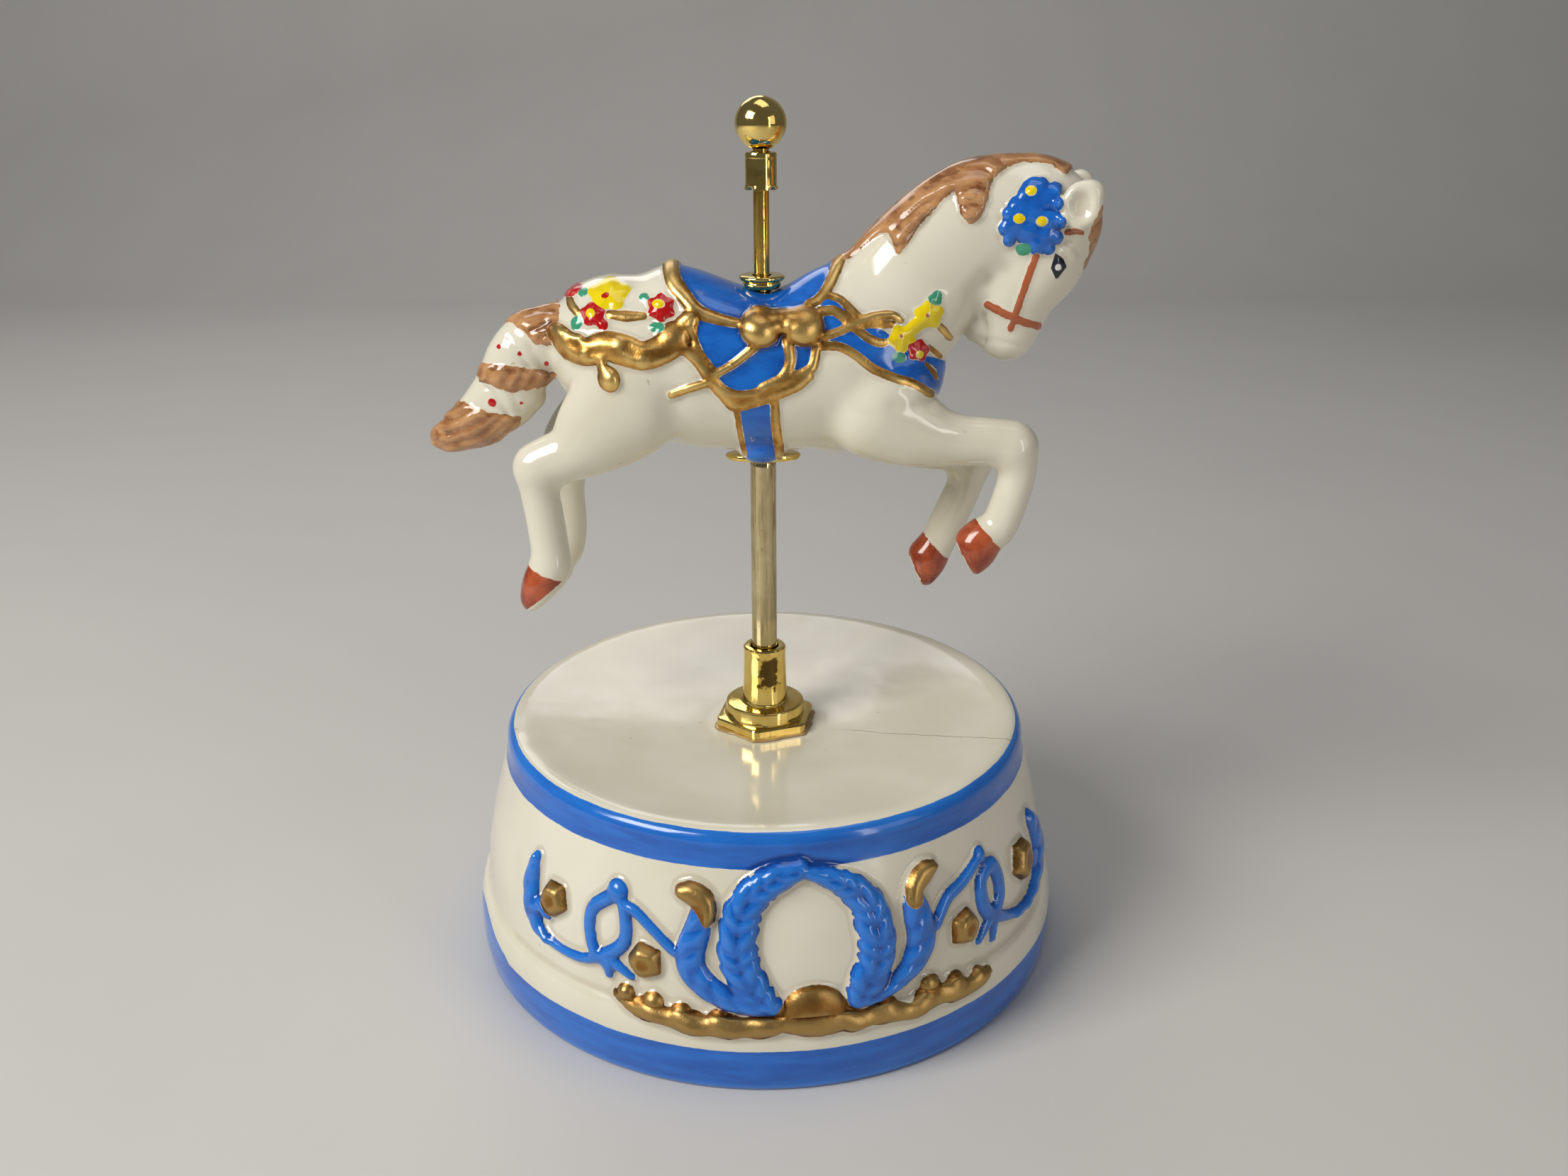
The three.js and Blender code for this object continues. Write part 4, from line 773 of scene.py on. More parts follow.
def skin(field, low, step):
    """The zero surface of a field as points and outward quads."""
    solid = field < 0
    cells = np.zeros([n - 1 for n in field.shape], np.int8)
    for a, b, c in CORNERS:
        cells += solid[a : a + cells.shape[0], b : b + cells.shape[1], c : c + cells.shape[2]]
    mixed = np.argwhere((cells > 0) & (cells < 8))
    total = np.zeros((len(mixed), 3))
    count = np.zeros(len(mixed))
    for p in CORNERS:
        for axis in range(3):
            if p[axis]:
                continue
            q = list(p)
            q[axis] = 1
            fa = field[tuple((mixed + p).T)]
            fb = field[tuple((mixed + q).T)]
            crossing = (fa < 0) != (fb < 0)
            t = np.where(crossing, fa / np.where(crossing, fa - fb, 1), 0)
            place = np.array(p, float) + t[:, None] * (np.array(q) - p)
            total += np.where(crossing[:, None], place, 0)
            count += crossing
    points = low + step * (mixed + total / count[:, None])
    number = np.full(cells.shape, -1, np.int64)
    number[tuple(mixed.T)] = np.arange(len(mixed))
    faces = []
    for axis in range(3):
        u, w = (axis + 1) % 3, (axis + 2) % 3
        first = np.take(solid, range(field.shape[axis] - 1), axis)
        second = np.take(solid, range(1, field.shape[axis]), axis)
        for mask, order in ((first & ~second, (0, 1, 2, 3)), (~first & second, (3, 2, 1, 0))):
            place = np.argwhere(mask)
            ring = []
            for du, dw in ((1, 1), (0, 1), (0, 0), (1, 0)):
                cell = place.copy()
                cell[:, u] -= du
                cell[:, w] -= dw
                ring.append(number[tuple(cell.T)])
            faces.append(np.stack([ring[n] for n in order], 1))
    return points, np.vstack(faces)


def settle(points, faces, field, low, step, rounds=2):
    """Evens out the mesh while keeping it on the zero surface."""
    edges = np.vstack([faces[:, [0, 1]], faces[:, [1, 2]], faces[:, [2, 3]], faces[:, [3, 0]]])
    degree = np.bincount(edges.ravel(), minlength=len(points))[:, None]
    for _ in range(rounds):
        points = 0.4 * points + 0.6 * neighbour_mean(points, edges, len(points)) / degree
        value, slope = probe(field, (points - low) / step)
        square = np.maximum((slope**2).sum(1), 0.05)
        shift = -(value / square)[:, None] * slope
        limit = np.minimum(1, 1 / np.maximum(np.linalg.norm(shift, axis=1), 1e-9))
        points = points + step * shift * limit[:, None]
    return points


def probe(field, place):
    """Value and slope of the field between its grid points."""
    place = np.clip(place, 0, np.array(field.shape) - 1.001)
    cell = place.astype(int)
    t = place - cell
    value = np.zeros(len(place))
    slope = np.zeros((len(place), 3))
    for p in CORNERS:
        at = field[tuple((cell + p).T)]
        weights = [np.where(p[n], t[:, n], 1 - t[:, n]) for n in range(3)]
        signs = [1 if p[n] else -1 for n in range(3)]
        value += at * weights[0] * weights[1] * weights[2]
        slope[:, 0] += at * signs[0] * weights[1] * weights[2]
        slope[:, 1] += at * signs[1] * weights[0] * weights[2]
        slope[:, 2] += at * signs[2] * weights[0] * weights[1]
    return value, slope


def hoof_paint(x, y, z):
    """Signed distance inside the painted part of a hoof. The flat sole stays bare."""
    paint = np.full(len(x), -Drawing.FRINGE)
    for side, centre, crown_a, crown_b, point, outward in HOOVES:
        xe, ze = to_drawing(x, side * LEG_Y, z)
        a = np.array(crown_a)
        b = np.array(crown_b)
        normal = np.array([-(b - a)[1], (b - a)[0]]) / np.linalg.norm(b - a)
        if (np.array(centre) - a) @ normal < 0:
            normal = -normal
        under = (xe - a[0]) * normal[0] + (ze - a[1]) * normal[1]
        rim = HIND_RIM if outward[0] > 0 else FORE_RIM
        above = -((xe - point[0]) * outward[0] + (ze - point[1]) * outward[1]) - rim
        near = (np.hypot(xe - centre[0], ze - centre[1]) < HOOF_REACH) & (y * side > 0)
        paint = np.where(near, np.maximum(paint, np.minimum(under, above)), paint)
    return paint


def build_horse():
    """The porcelain horse, with its paint as distances for the material."""
    sheet = draw_horse()
    v = shape_horse(sheet)
    low = np.array([v.x[0], v.y[0], v.z[0]])
    points, faces = skin(v.field, low, HORSE_STEP)
    points = settle(points, faces, v.field, low, HORSE_STEP)
    piece = make("carousel_horse", points, faces.tolist(), "carousel", "horse_glaze", ["horse"], 180)
    x, y, z = (vertices_of(piece.data) / MM).T
    xe, ze = elevation(x, y, z)
    paint = {c: sheet.read(layer, xe, ze) for c, layer in sheet.paint.items()}
    hoof = hoof_paint(x, y, z)
    paint["hoof"] = np.maximum(paint["hoof"], hoof)
    deep = hollows(piece.data, 10, 0.22)
    glint_x, glint_z, glint_radius = PUPIL_GLINT
    # a painted highlight: the white glint in the eye
    painted_glint = glint_radius - np.hypot(xe - glint_x, ze - glint_z)
    store(piece.data, "cloth", [paint["blue"], paint["gold"], paint["brown"]])
    store(piece.data, "bloom", [paint["red"], paint["yellow"], paint["green"]])
    store(piece.data, "line", [paint["rust"], paint["navy"], paint["hoof"]])
    # the first column sets the painted shade and highlight, the second the painted eye glint
    store(piece.data, "form", [deep, painted_glint, np.abs(y)])
    return piece


# ------------------------------------------------------------------ the base

WALL_RADIUS = 55.0
BASE_COLOURS = ("blue", "gold")
FINE_SPAN = (-54.0, 73.0)  # the ornament's reach round the wall
FINE_STEP = 0.47
COARSE_STEP = 1.6
LID_BLUE_RADIUS = 48.3
BEAD_BLUE_Z = 40.4
SKIRT_BLUE_Z = 9.2
BAND_LIFT = 3.6  # how much higher the lower band is at the sides
BAND_LIFT_AT = 103.0
BAND_LIFT_SPREAD = 12.0
WANDER_SIZE = 43.2  # an eighth of the way round
RIPPLE_SIZE = 17.28  # a twentieth of the way round
LID_END_ROW = 20  # rows of the profile
WALL_ROW = 30
SKIRT_END_ROW = 110
RELIEF_LOW = 6.5
RELIEF_HIGH = 43.5
RELIEF_END = 75.5
LID_BORE_RADIUS = 4.5

# The ornament, unrolled: distance round the wall, height and half width.
WREATH = [
    [(6, 40, 1.6), (1.5, 38.5, 2.4), (-2.3, 36, 2.9), (-4.2, 33, 3.2), (-4.9, 29.5, 3.3), (-4.9, 26, 3.3),
     (-3.8, 22.5, 3.2), (-2, 19.5, 2.8), (0, 17.5, 2)],
    [(7.5, 39.4, 1), (11.5, 38, 1.7), (15, 36, 2.4), (17.8, 33, 3), (18.8, 29.5, 3.4), (19.2, 26, 3.4),
     (18.6, 22.5, 3.3), (17, 19.5, 3.2), (15.5, 16.8, 2.2)],
]
HORNS = [
    [(1, 16.8, 1.9), (-4, 17.3, 2.2), (-9, 19.2, 2.4), (-12.5, 22.5, 2.6), (-13, 26, 2.6), (-12, 29.5, 2.4),
     (-11.2, 33, 2)],
    [(17, 15.8, 0.9), (21, 17.3, 1.6), (25, 20, 2.4), (27.3, 23, 3), (27.8, 26, 3), (27.3, 29, 2.8),
     (26.8, 31.5, 2.3)],
    [(-42, 19.7, 0.9), (-45, 21.2, 1.6), (-46.9, 23.6, 2.5), (-48.2, 26.8, 2.3), (-48.4, 30, 1.9),
     (-47.9, 32.8, 1.1)],
    [(-46.6, 24.4, 1.6), (-44.4, 25.2, 1.5), (-42.4, 24.3, 0.9)],
    [(52, 19, 1.1), (57, 18.6, 1.3), (61.5, 19.8, 1.9), (65.2, 22.2, 2.7), (67.2, 25.6, 3.1), (66.5, 29, 2.8),
     (64.8, 31.6, 1.9)],
]
VINES = [
    [(-16, 25.5, 0.9), (-20, 28.5, 0.9), (-23.5, 30.8, 0.9), (-26, 31.5, 0.9)],
    [(-29, 32, 1.2), (-32, 29.5, 1.2), (-32.7, 27, 1.2), (-32, 23.5, 1.2), (-31, 21.5, 1.2)],
    [(-26, 31.5, 1.2), (-25.3, 29, 1.2), (-25, 26, 1.2), (-26, 24, 1.2), (-28.5, 22, 1.2), (-30.5, 20.8, 1.2)],
    [(-28, 21, 1.3), (-28, 18.4, 0.7)],
    [(-27, 21, 1.1), (-23.5, 19.2, 0.6)],
    [(-31, 20.5, 1), (-34, 19.4, 0.9), (-38, 19.2, 0.9), (-42, 19.7, 1)],
    [(31, 26, 1.2), (34, 29.5, 1.2), (38, 31, 1.2), (42, 33, 1.1), (44, 34, 1)],
    [(45.4, 31.2, 1.5), (42.9, 29.4, 1.5), (42.6, 26, 1.6), (43.6, 23.4, 1.5), (45.6, 22.6, 1.5),
     (47.6, 24.4, 1.6), (48, 27.6, 1.6), (47.2, 30.4, 1.5), (45.4, 31.2, 1.5)],
    [(44, 22, 1.2), (42, 20.4, 1), (40.5, 19, 0.6)],
    [(45.5, 22, 1.2), (45, 19.8, 1), (44.5, 17.6, 0.6)],
    [(46, 21.5, 1.3), (49, 20, 1), (52, 19, 1)],
]
TIPS = [
    [(-15, 35.8, 1.4), (-13, 35.6, 2.1), (-10.8, 34.4, 2.0), (-10, 32.4, 1.4), (-10.2, 31.2, 0.7)],
    [(31.6, 36.2, 1), (29.4, 35.4, 2), (27.4, 33.8, 1.9), (26.6, 32, 1.6)],
]
SCROLLS = [
    [(-26.3, 15.2, 0.8), (-23, 14.4, 1.6), (-18, 13.9, 1.8), (-12, 13, 1.7), (-6, 13.1, 1.8), (0, 13.4, 1.7),
     (4, 14.6, 1.9), (8, 15, 2), (12, 14, 1.9), (15, 12.9, 1.7)],
    [(14, 13, 1.7), (20, 13.2, 1.7), (25, 12.2, 1.6), (29, 13.4, 1.9), (34, 12.6, 1.8), (38.5, 12.2, 1.5),
     (41.8, 13, 0.9)],
]
BUMPS = [
    (-24.5, 16.1, 1.2), (-19.5, 15.3, 1.6), (-14.5, 14.2, 1.6), (-8, 13.9, 1.6), (29, 15.2, 1.6),
    (34.3, 13.9, 1.5), (39.5, 12.7, 1.3), (20.5, 14.2, 1.3),
]
KNOTS = [(-27.5, 33.3, 2.2, 1.5), (43.7, 33.9, 1.7, 1.3), (-28.2, 20.6, 2.0, 1.4), (-43.6, 25.2, 1.3, 1.1)]
GEMS = [(-41.3, 27.7, 2.9, 20), (-21, 22.8, 2.9, 5), (37.3, 23.2, 3.0, 35), (57.2, 27.2, 3.5, 15)]
MOUND = [
    (-0.8, 13.4), (1.6, 16), (3.2, 18.3), (5, 19.7), (7.5, 20.2), (9.5, 20), (11.5, 19), (13, 17.3),
    (14.2, 15), (16.4, 12.9), (8, 11.2),
]


def draw_base():
    """The moulded ornament on the wall, unrolled: distance round the wall against height."""
    d = Drawing(-56, 76, 6, 44, 0.16, BASE_COLOURS)
    for vine in VINES:
        d.stroke([(x, z, w + 0.12) for x, z, w in vine], None, "blue", 1.2)
    for horn in HORNS:
        d.stroke(horn, None, "blue", 1.9, "twist")
    for arm in WREATH:
        d.stroke([(x, z, w + 0.15) for x, z, w in arm], None, "blue", 2.4, "leaf")
    for x, z, r, height in KNOTS:
        d.blob(x, z, r, "blue", height)
    for tip in TIPS:
        d.stroke(tip, None, "gold", 2.1)
    for x, z, r, turn in GEMS:
        d.gem(x, z, r, "gold", 2.4, 5, turn)
    for scroll in SCROLLS:
        d.stroke(scroll, None, "gold", 1.7, "lumpy")
    for x, z, r in BUMPS:
        d.blob(x, z, r + 0.5, "gold", 1.75)
    d.area(MOUND, "gold", 2.4, 6.5, per=4)
    d.soften(4)
    return d


def spline(points, count):
    """Evenly spread points on the smooth curve through these points, the last one left out."""
    line = curve(points, 12)
    run = np.concatenate([[0], np.cumsum(np.hypot(*np.diff(line, axis=0).T))])
    at = np.linspace(0, run[-1], count, endpoint=False)
    return list(zip(np.interp(at, run, line[:, 0]), np.interp(at, run, line[:, 1])))


def bezier(points, count):
    """Points on a curve with these control points, the last one left out."""
    p = np.array(points, float)
    rows = []
    for t in np.linspace(0, 1, count, endpoint=False):
        q = p
        while len(q) > 1:
            q = q[:-1] * (1 - t) + q[1:] * t
        rows.append(tuple(q[0]))
    return rows


def base_profile():
    """The shell's section as a loop of radius and height: lid, rim, wall, skirt, foot and inside."""
    rows = [(4.5, 40.6), (4.5, 42.3), (4.8, 42.6), (8.4, 42.6)]
    rows += bezier([(12, 42.6), (36, 44.2), (46.2, 46.2)], 16)
    rows += [(46.2, 46.2)]
    rows += bezier([(47.6, 46.3), (49.4, 46.1), (50, 44.8), (50, 43.3)], 9)
    wall = [(50, 43.3), (50.1, 42), (50.3, 40.7), (51.3, 37), (53.6, 28.2), (54.8, 21.9), (55.4, 16)]
    skirt = [(55.4, 16), (55.6, 14.6), (56.5, 13.4), (57.1, 11.4), (57.4, 9), (57.4, 4.5), (56.9, 1)]
    rows += spline(wall, 58) + spline(skirt, 26)
    rows += [(56.9, 1), (56.6, 0.35), (56.1, 0), (54, 0), (52, 0), (51.4, 0.1), (50.8, 0.6), (50.6, 1.2)]
    rows += [(50.6, 4), (50.6, 8), (50.6, 12.7), (50.3, 13), (47, 13), (44.8, 13), (44.5, 13.3)]
    rows += [(44.5, 18.7), (44.9, 19), (48, 19), (50.9, 19), (51.2, 19.3)]
    rows += spline([(51.2, 20), (49, 28), (46.6, 36.5), (44.6, 40.4), (40, 41.6)], 10)
    rows += [(40, 41.6), (26, 40.1), (12, 38.6), (5, 38.6), (4.5, 38.8)]
    return np.array(rows)


def base_angles():
    """Close together where the ornament is, and further apart between the front and its copy."""
    half = math.pi * WALL_RADIUS
    fine = np.arange(FINE_SPAN[0], FINE_SPAN[1], FINE_STEP)
    gap = half - (fine[-1] - FINE_SPAN[0])
    coarse = fine[-1] + np.linspace(0, gap, int(gap / COARSE_STEP) + 1)[1:-1]
    one = np.concatenate([fine, coarse])
    return np.concatenate([one, one + half])


def blue_bands(profile, run, s, z):
    """Signed distance inside the blue bands round the lid's rim and the foot."""
    wall = np.arange(len(profile)) > WALL_ROW
    lid_end = run[np.argmax(profile[:, 0] > LID_BLUE_RADIUS)]
    bead_end = run[np.argmax(wall & (profile[:, 1] < BEAD_BLUE_Z))]
    skirt_start = run[np.argmax(wall & (profile[:, 1] < SKIRT_BLUE_Z))]
    line = run[:, None]
    wander = 0.04 * weave(s, z, WANDER_SIZE) + 0.05 * weave(s + 9, z, RIPPLE_SIZE)
    lift = BAND_LIFT * np.exp(-(((s - BAND_LIFT_AT) / BAND_LIFT_SPREAD) ** 2))
    upper = np.minimum(line - lid_end, bead_end - line)
    lower = np.minimum(line - skirt_start + lift, foot_run(profile, run) - line)
    return np.maximum(upper, lower) + wander


def foot_run(profile, run):
    """How far along the profile the foot touches down."""
    return run[np.argmax((np.arange(len(profile)) > WALL_ROW) & (profile[:, 1] < 0.2))]


def build_base():
    """The ceramic shell: the profile turned round, its wall raised by the ornament's relief."""
    sheet = draw_base()
    profile = base_profile()
    tangent = np.roll(profile, -1, 0) - np.roll(profile, 1, 0)
    tangent /= np.linalg.norm(tangent, axis=1)[:, None]
    run = np.concatenate([[0], np.cumsum(np.linalg.norm(np.diff(profile, axis=0), axis=1))])
    distance = base_angles()
    half = math.pi * WALL_RADIUS
    local = np.where(distance > FINE_SPAN[0] + half, distance - half, distance)
    rows, columns = len(profile), len(distance)
    index = np.arange(rows)
    r = profile[:, 0][:, None]
    z = np.repeat(profile[:, 1][:, None], columns, 1)
    s = np.repeat(local[None], rows, 0)
    outer = ((run > run[LID_END_ROW]) & (index < SKIRT_END_ROW) & (profile[:, 1] > RELIEF_LOW))[:, None]
    on_wall = outer & (z < RELIEF_HIGH) & (s < RELIEF_END)
    rise = np.where(on_wall, sheet.read(sheet.height, s, z), 0)
    rise = rise + np.where(outer, 0.04 * weave(s, z, RIPPLE_SIZE), 0)
    paint = {c: np.where(on_wall, sheet.read(v, s, z), -sheet.FRINGE) for c, v in sheet.paint.items()}
    blue = np.maximum(paint["blue"], np.minimum(blue_bands(profile, run, s, z), -paint["gold"]))
    inner = np.where((index > WALL_ROW)[:, None], run[:, None] - foot_run(profile, run), LID_BORE_RADIUS - r)
    radius = r - tangent[:, 1][:, None] * rise
    height = z + tangent[:, 0][:, None] * rise
    angle = distance / WALL_RADIUS
    points = np.stack([radius * np.sin(angle), -radius * np.cos(angle), height], 2).reshape(-1, 3)
    i, j = np.meshgrid(index, np.arange(columns), indexing="ij")
    ii = (i + 1) % rows
    jj = (j + 1) % columns
    faces = np.stack([i * columns + j, ii * columns + j, ii * columns + jj, i * columns + jj], 2)
    faces = faces.reshape(-1, 4).tolist()
    piece = make("ceramic_base", points, faces, "base", "base_glaze", ["base_shell"], 75)
    store(piece.data, "paint", [blue.ravel(), paint["gold"].ravel(), np.broadcast_to(inner, s.shape).ravel()])
    deep = hollows(piece.data, 8, 0.2)
    flat = np.where(on_wall, np.clip(rise, -1, 3), 0).ravel()
    # the first column sets the painted shade and highlight
    store(piece.data, "form", [deep, flat, np.zeros(len(deep))])
    return piece


# ------------------------------------------------------------------ fittings

GAP = 0.3
ROD_RADIUS = 1.4
SEAT_Z = 42.6
FERRULE_TURN = -11.0
HEX_RADIUS = 10.0
HEX_HEIGHT = 1.9
FERRULE_BORE = 2.7
TUBE_RADIUS = 2.4
FLANGE_HALF_LENGTH = 6.9
FLANGE_HALF_WIDTH = 3.4
ROD_LOW = 34.4
ROD_HIGH = 153.35
TUBE_LOW = 44.6
TUBE_HIGH = 95.9
FLANGE_HIGH = 97.1
SADDLE_RING_LOW = 127.2
COLLAR_LOW = 143.9
COLLAR_HIGH = 150.2
BALL_RADIUS = 4.45
BALL_Z = 154.85
KEY_REACH = 7.2  # from the key's axis to the middle of a wing
KEY_WING = 3.9
KEY_HOLE = 1.9
RUBBED_X = 0.8  # where the ferrule's plating is rubbed through
RUBBED_Z = 54.5
COVER_LOW = 10.7
COVER_HIGH = 12.7


def hexagon(radius, angles):
    """Distance to a hexagon's sides, its corners slightly rounded."""
    apothem = radius * math.cos(math.pi / 6)
    fold = np.mod(angles - math.radians(FERRULE_TURN), math.pi / 3) - math.pi / 6
    return np.minimum(apothem / np.cos(fold), radius - 0.25)


def build_ferrule():
    """The plated ferrule on the lid: hexagonal foot, round boss and tapered neck."""
    foot = SEAT_Z + GAP
    boss = foot + 4.5
    top = foot + 16
    flat = foot + HEX_HEIGHT
    hexes = [(HEX_RADIUS, foot), (HEX_RADIUS, foot + 0.1), (HEX_RADIUS, flat - 0.35),
             (HEX_RADIUS - 0.25, flat - 0.08), (HEX_RADIUS - 0.55, flat)]
    rounds = [
        (7.9, flat), (7.65, flat + 0.15), (7.6, foot + 2.4), (7.6, boss - 0.6),
        (7.5, boss - 0.25), (7.2, boss - 0.05), (6.9, boss), (5.2, boss), (4.75, boss + 0.15),
        (4.45, boss + 0.45), (4.33, boss + 1.2), (4.2, boss + 4), (4.12, boss + 6), (4.15, boss + 6.3),
        (4.1, boss + 6.6), (4.02, top - 1.6), (4.05, top - 1.2), (4.12, top - 0.8), (4.05, top - 0.35),
        (3.8, top - 0.08), (3.5, top), (3.0, top), (FERRULE_BORE, top - 0.2), (FERRULE_BORE, top - 6),
        (FERRULE_BORE, foot), (6, foot),
    ]

    def reach(i, r, angles):
        return hexagon(r, angles) if i < len(hexes) else np.full(len(angles), r)

    turn = math.radians(FERRULE_TURN)
    rows = hexes + rounds
    return lathe("base_ferrule_fine", rows, "base", "gold_plate", ["base_ferrule"], 144, 30, reach, turn)


def build_glue():
    """The bead of adhesive squeezed out round the ferrule."""
    low = SEAT_Z + 0.02
    rows = [(8.7, low), (9.9, low), (10.15, low + 0.12), (10.1, low + 0.3), (9.9, low + 0.42), (9.4, low + 0.4),
            (8.9, low + 0.3)]

    def reach(i, r, angles):
        uneven = 0.16 * np.sin(5 * angles + 0.8) + 0.1 * np.sin(11 * angles) + 0.07 * np.sin(23 * angles + 2)
        hexed = hexagon(r + 0.5, angles)
        return hexed + (uneven if 1 <= i <= 4 else 0)

    turn = math.radians(FERRULE_TURN)
    return lathe("glue_bead", rows, "base", "adhesive", ["ferrule_glue"], 180, 180, reach, turn)


def flange_reach(_, r, angles):
    """An oval edge, its long axis along the horse, round a circular bore."""
    share = (r - BORE_RADIUS) / (FLANGE_HALF_LENGTH - BORE_RADIUS)
    narrow = BORE_RADIUS + share * (FLANGE_HALF_WIDTH - BORE_RADIUS)
    return 1 / np.sqrt((np.sin(angles) / r) ** 2 + (np.cos(angles) / narrow) ** 2)


def build_fittings():
    """The ferrule with its glue, and the rod, tube, flange, saddle ring and ball of the pole."""
    pieces = [build_ferrule(), build_glue()]
    rod = [(0, ROD_LOW), (1.1, ROD_LOW), (ROD_RADIUS, ROD_LOW + 0.3)]
    rod += [(ROD_RADIUS, z) for z in (60, 100, 128, 140, 153)] + [(1.1, ROD_HIGH), (0, ROD_HIGH)]
    pieces.append(lathe("pole_rod_fine", rod, "carousel", "rod_brass", ["pole_rod"], 64))
    top = TUBE_HIGH
    tube = [(BORE_RADIUS, TUBE_LOW), (2.25, TUBE_LOW), (TUBE_RADIUS, TUBE_LOW + 0.2)]
    tube += [(TUBE_RADIUS + 0.012 * math.sin(z * 1.3), z) for z in np.linspace(46, top - 1.2, 60)]
    tube += [(TUBE_RADIUS, top - 0.2), (2.25, top), (BORE_RADIUS, top)]
    pieces.append(lathe("pole_tube_fine", tube, "carousel", "worn_tube", ["pole_tube"], 72))
    high, half = FLANGE_HIGH, FLANGE_HALF_LENGTH
    flange = [(BORE_RADIUS, high - 0.9), (3.2, high - 0.9), (3.5, high - 0.82), (half - 0.6, high - 0.82),
              (half - 0.3, high - 0.9), (half - 0.05, high - 0.62), (half, high - 0.45),
              (half - 0.05, high - 0.2), (half - 0.25, high), (BORE_RADIUS, high)]
    pieces.append(
        lathe("belly_flange_fine", flange, "carousel", "gold_plate", ["belly_flange"], 96, 50, flange_reach)
    )
    low = SADDLE_RING_LOW
    ferrule = [(BORE_RADIUS, low), (3.0, low), (3.25, low + 0.2), (3.4, low + 0.7), (3.35, low + 1.05),
               (3.15, low + 1.3), (3.3, low + 1.42), (3.9, low + 1.46), (4.06, low + 1.7), (4.1, low + 1.95),
               (3.95, low + 2.2), (3.7, low + 2.3), (2.4, low + 2.3), (BORE_RADIUS, low + 2.25)]
    pieces.append(lathe("saddle_ferrule_fine", ferrule, "carousel", "gold_plate", ["saddle_ferrule"], 96, 60))
    ball = [(0, BALL_Z - 1), (1.6, BALL_Z - 1), (BORE_RADIUS, BALL_Z - 1.15)]
    start = math.asin(BORE_RADIUS / BALL_RADIUS)
    for t in np.linspace(start, math.pi, 40):
        ball.append((BALL_RADIUS * math.sin(t), BALL_Z - BALL_RADIUS * math.cos(t)))
    ball[-1] = (0, BALL_Z + BALL_RADIUS)
    pieces.append(lathe("finial_ball_fine", ball[::-1], "carousel", "gold_plate", ["finial_ball"], 96, 50))
    return pieces


def build_collar():
    """The sleeve under the ball, its lower lip notched into four feet."""
    low, high = COLLAR_LOW, COLLAR_HIGH
    rows = [(BORE_RADIUS, low), (2.75, low), (2.95, low + 0.18), (2.92, low + 0.45), (2.78, low + 0.8)]
    rows += [(2.75, low + 1.1), (2.75, low + 3), (2.75, high - 1.4), (2.72, high - 1.1), (2.75, high - 0.9)]
    rows += [(2.75, high - 0.3), (2.6, high - 0.05), (2.3, high), (BORE_RADIUS, high)]
    around = 128
    angles = np.arange(around) * 2 * math.pi / around
    corner = np.abs(np.mod(angles, math.pi / 2) - math.pi / 4)
    notch = np.clip((0.36 - corner) / 0.08, 0, 1)
    points = []
    for r, z in rows:
        lift = np.where(z < low + 0.6, notch * 0.6, 0) * (1 if z < low + 0.5 else 0.3)
        points.extend(zip(r * np.sin(angles), -r * np.cos(angles), z + lift))
    count = len(rows)
    faces = []
    for i in range(count):
        for j in range(around):
            k = (j + 1) % around
            m = (i + 1) % count
            faces.append([i * around + j, i * around + k, m * around + k, m * around + j])
    return make("finial_collar_fine", points, faces, "carousel", "gold_plate", ["finial_collar"], 45)


def convert(obj, name):
    """A curve's mesh, as a new mesh."""
    depsgraph = bpy.context.evaluated_depsgraph_get()
    mesh = bpy.data.meshes.new_from_object(obj.evaluated_get(depsgraph))
    mesh.name = name
    bpy.data.objects.remove(obj)
    return mesh


def build_key():
    """A butterfly key: two round wings with finger holes on a central hub."""
    data = bpy.data.curves.new("key_outline", "CURVE")
    data.dimensions = "2D"
    data.fill_mode = "BOTH"
    data.extrude = 0.5 * MM
    data.bevel_depth = 0.3 * MM
    data.bevel_resolution = 3
    data.offset = -0.3 * MM
    outer = []
    for side in (1, -1):
        for a in np.linspace(-135, 135, 40):
            x = side * (KEY_REACH + KEY_WING * math.cos(math.radians(a)))
            outer.append((x, side * KEY_WING * math.sin(math.radians(a))))
        outer.append((0, side * KEY_HOLE))
    loops = [outer]
    for side in (1, -1):
        hole = np.radians(np.linspace(0, 360, 36, endpoint=False))
        loops.append([(side * KEY_REACH + KEY_HOLE * math.cos(a), KEY_HOLE * math.sin(a)) for a in hole])
    for loop in loops:
        line = data.splines.new("POLY")
        line.points.add(len(loop) - 1)
        line.use_cyclic_u = True
        for point, (x, y) in zip(line.points, loop):
            point.co = (x * MM, y * MM, 0, 1)
    outline = bpy.data.objects.new("key_outline", data)
    bpy.context.scene.collection.objects.link(outline)
    blade = convert(outline, "key_blade")
    blade.transform(Matrix.Translation((0, 0, 5.2 * MM)) @ Matrix.Rotation(math.pi / 2, 4, "X"))
    rows = [(1.85, 4.2), (1.85, 3.3), (2.1, 3.2), (2.7, 3.2), (2.95, 3.35), (3, 3.6), (3, 7), (3, 11.6),
            (2.8, 11.85), (1.95, 11.9), (1.85, 11.7), (1.85, 8)]
    hub = lathe("winding_key_fine", rows, "carousel", "zinc", ["winding_key"], 64, 35)
    whole = bpy.data.meshes.new("winding_key_fine")
    points = [v.co[:] for v in hub.data.vertices] + [v.co[:] for v in blade.vertices]
    start = len(hub.data.vertices)
    faces = [list(p.vertices) for p in hub.data.polygons]
    faces += [[v + start for v in p.vertices] for p in blade.polygons]
    whole.from_pydata(points, [], faces)
    whole.shade_smooth()
    whole.set_sharp_from_angle(angle=math.radians(35))
    hub.data = whole
    return hub


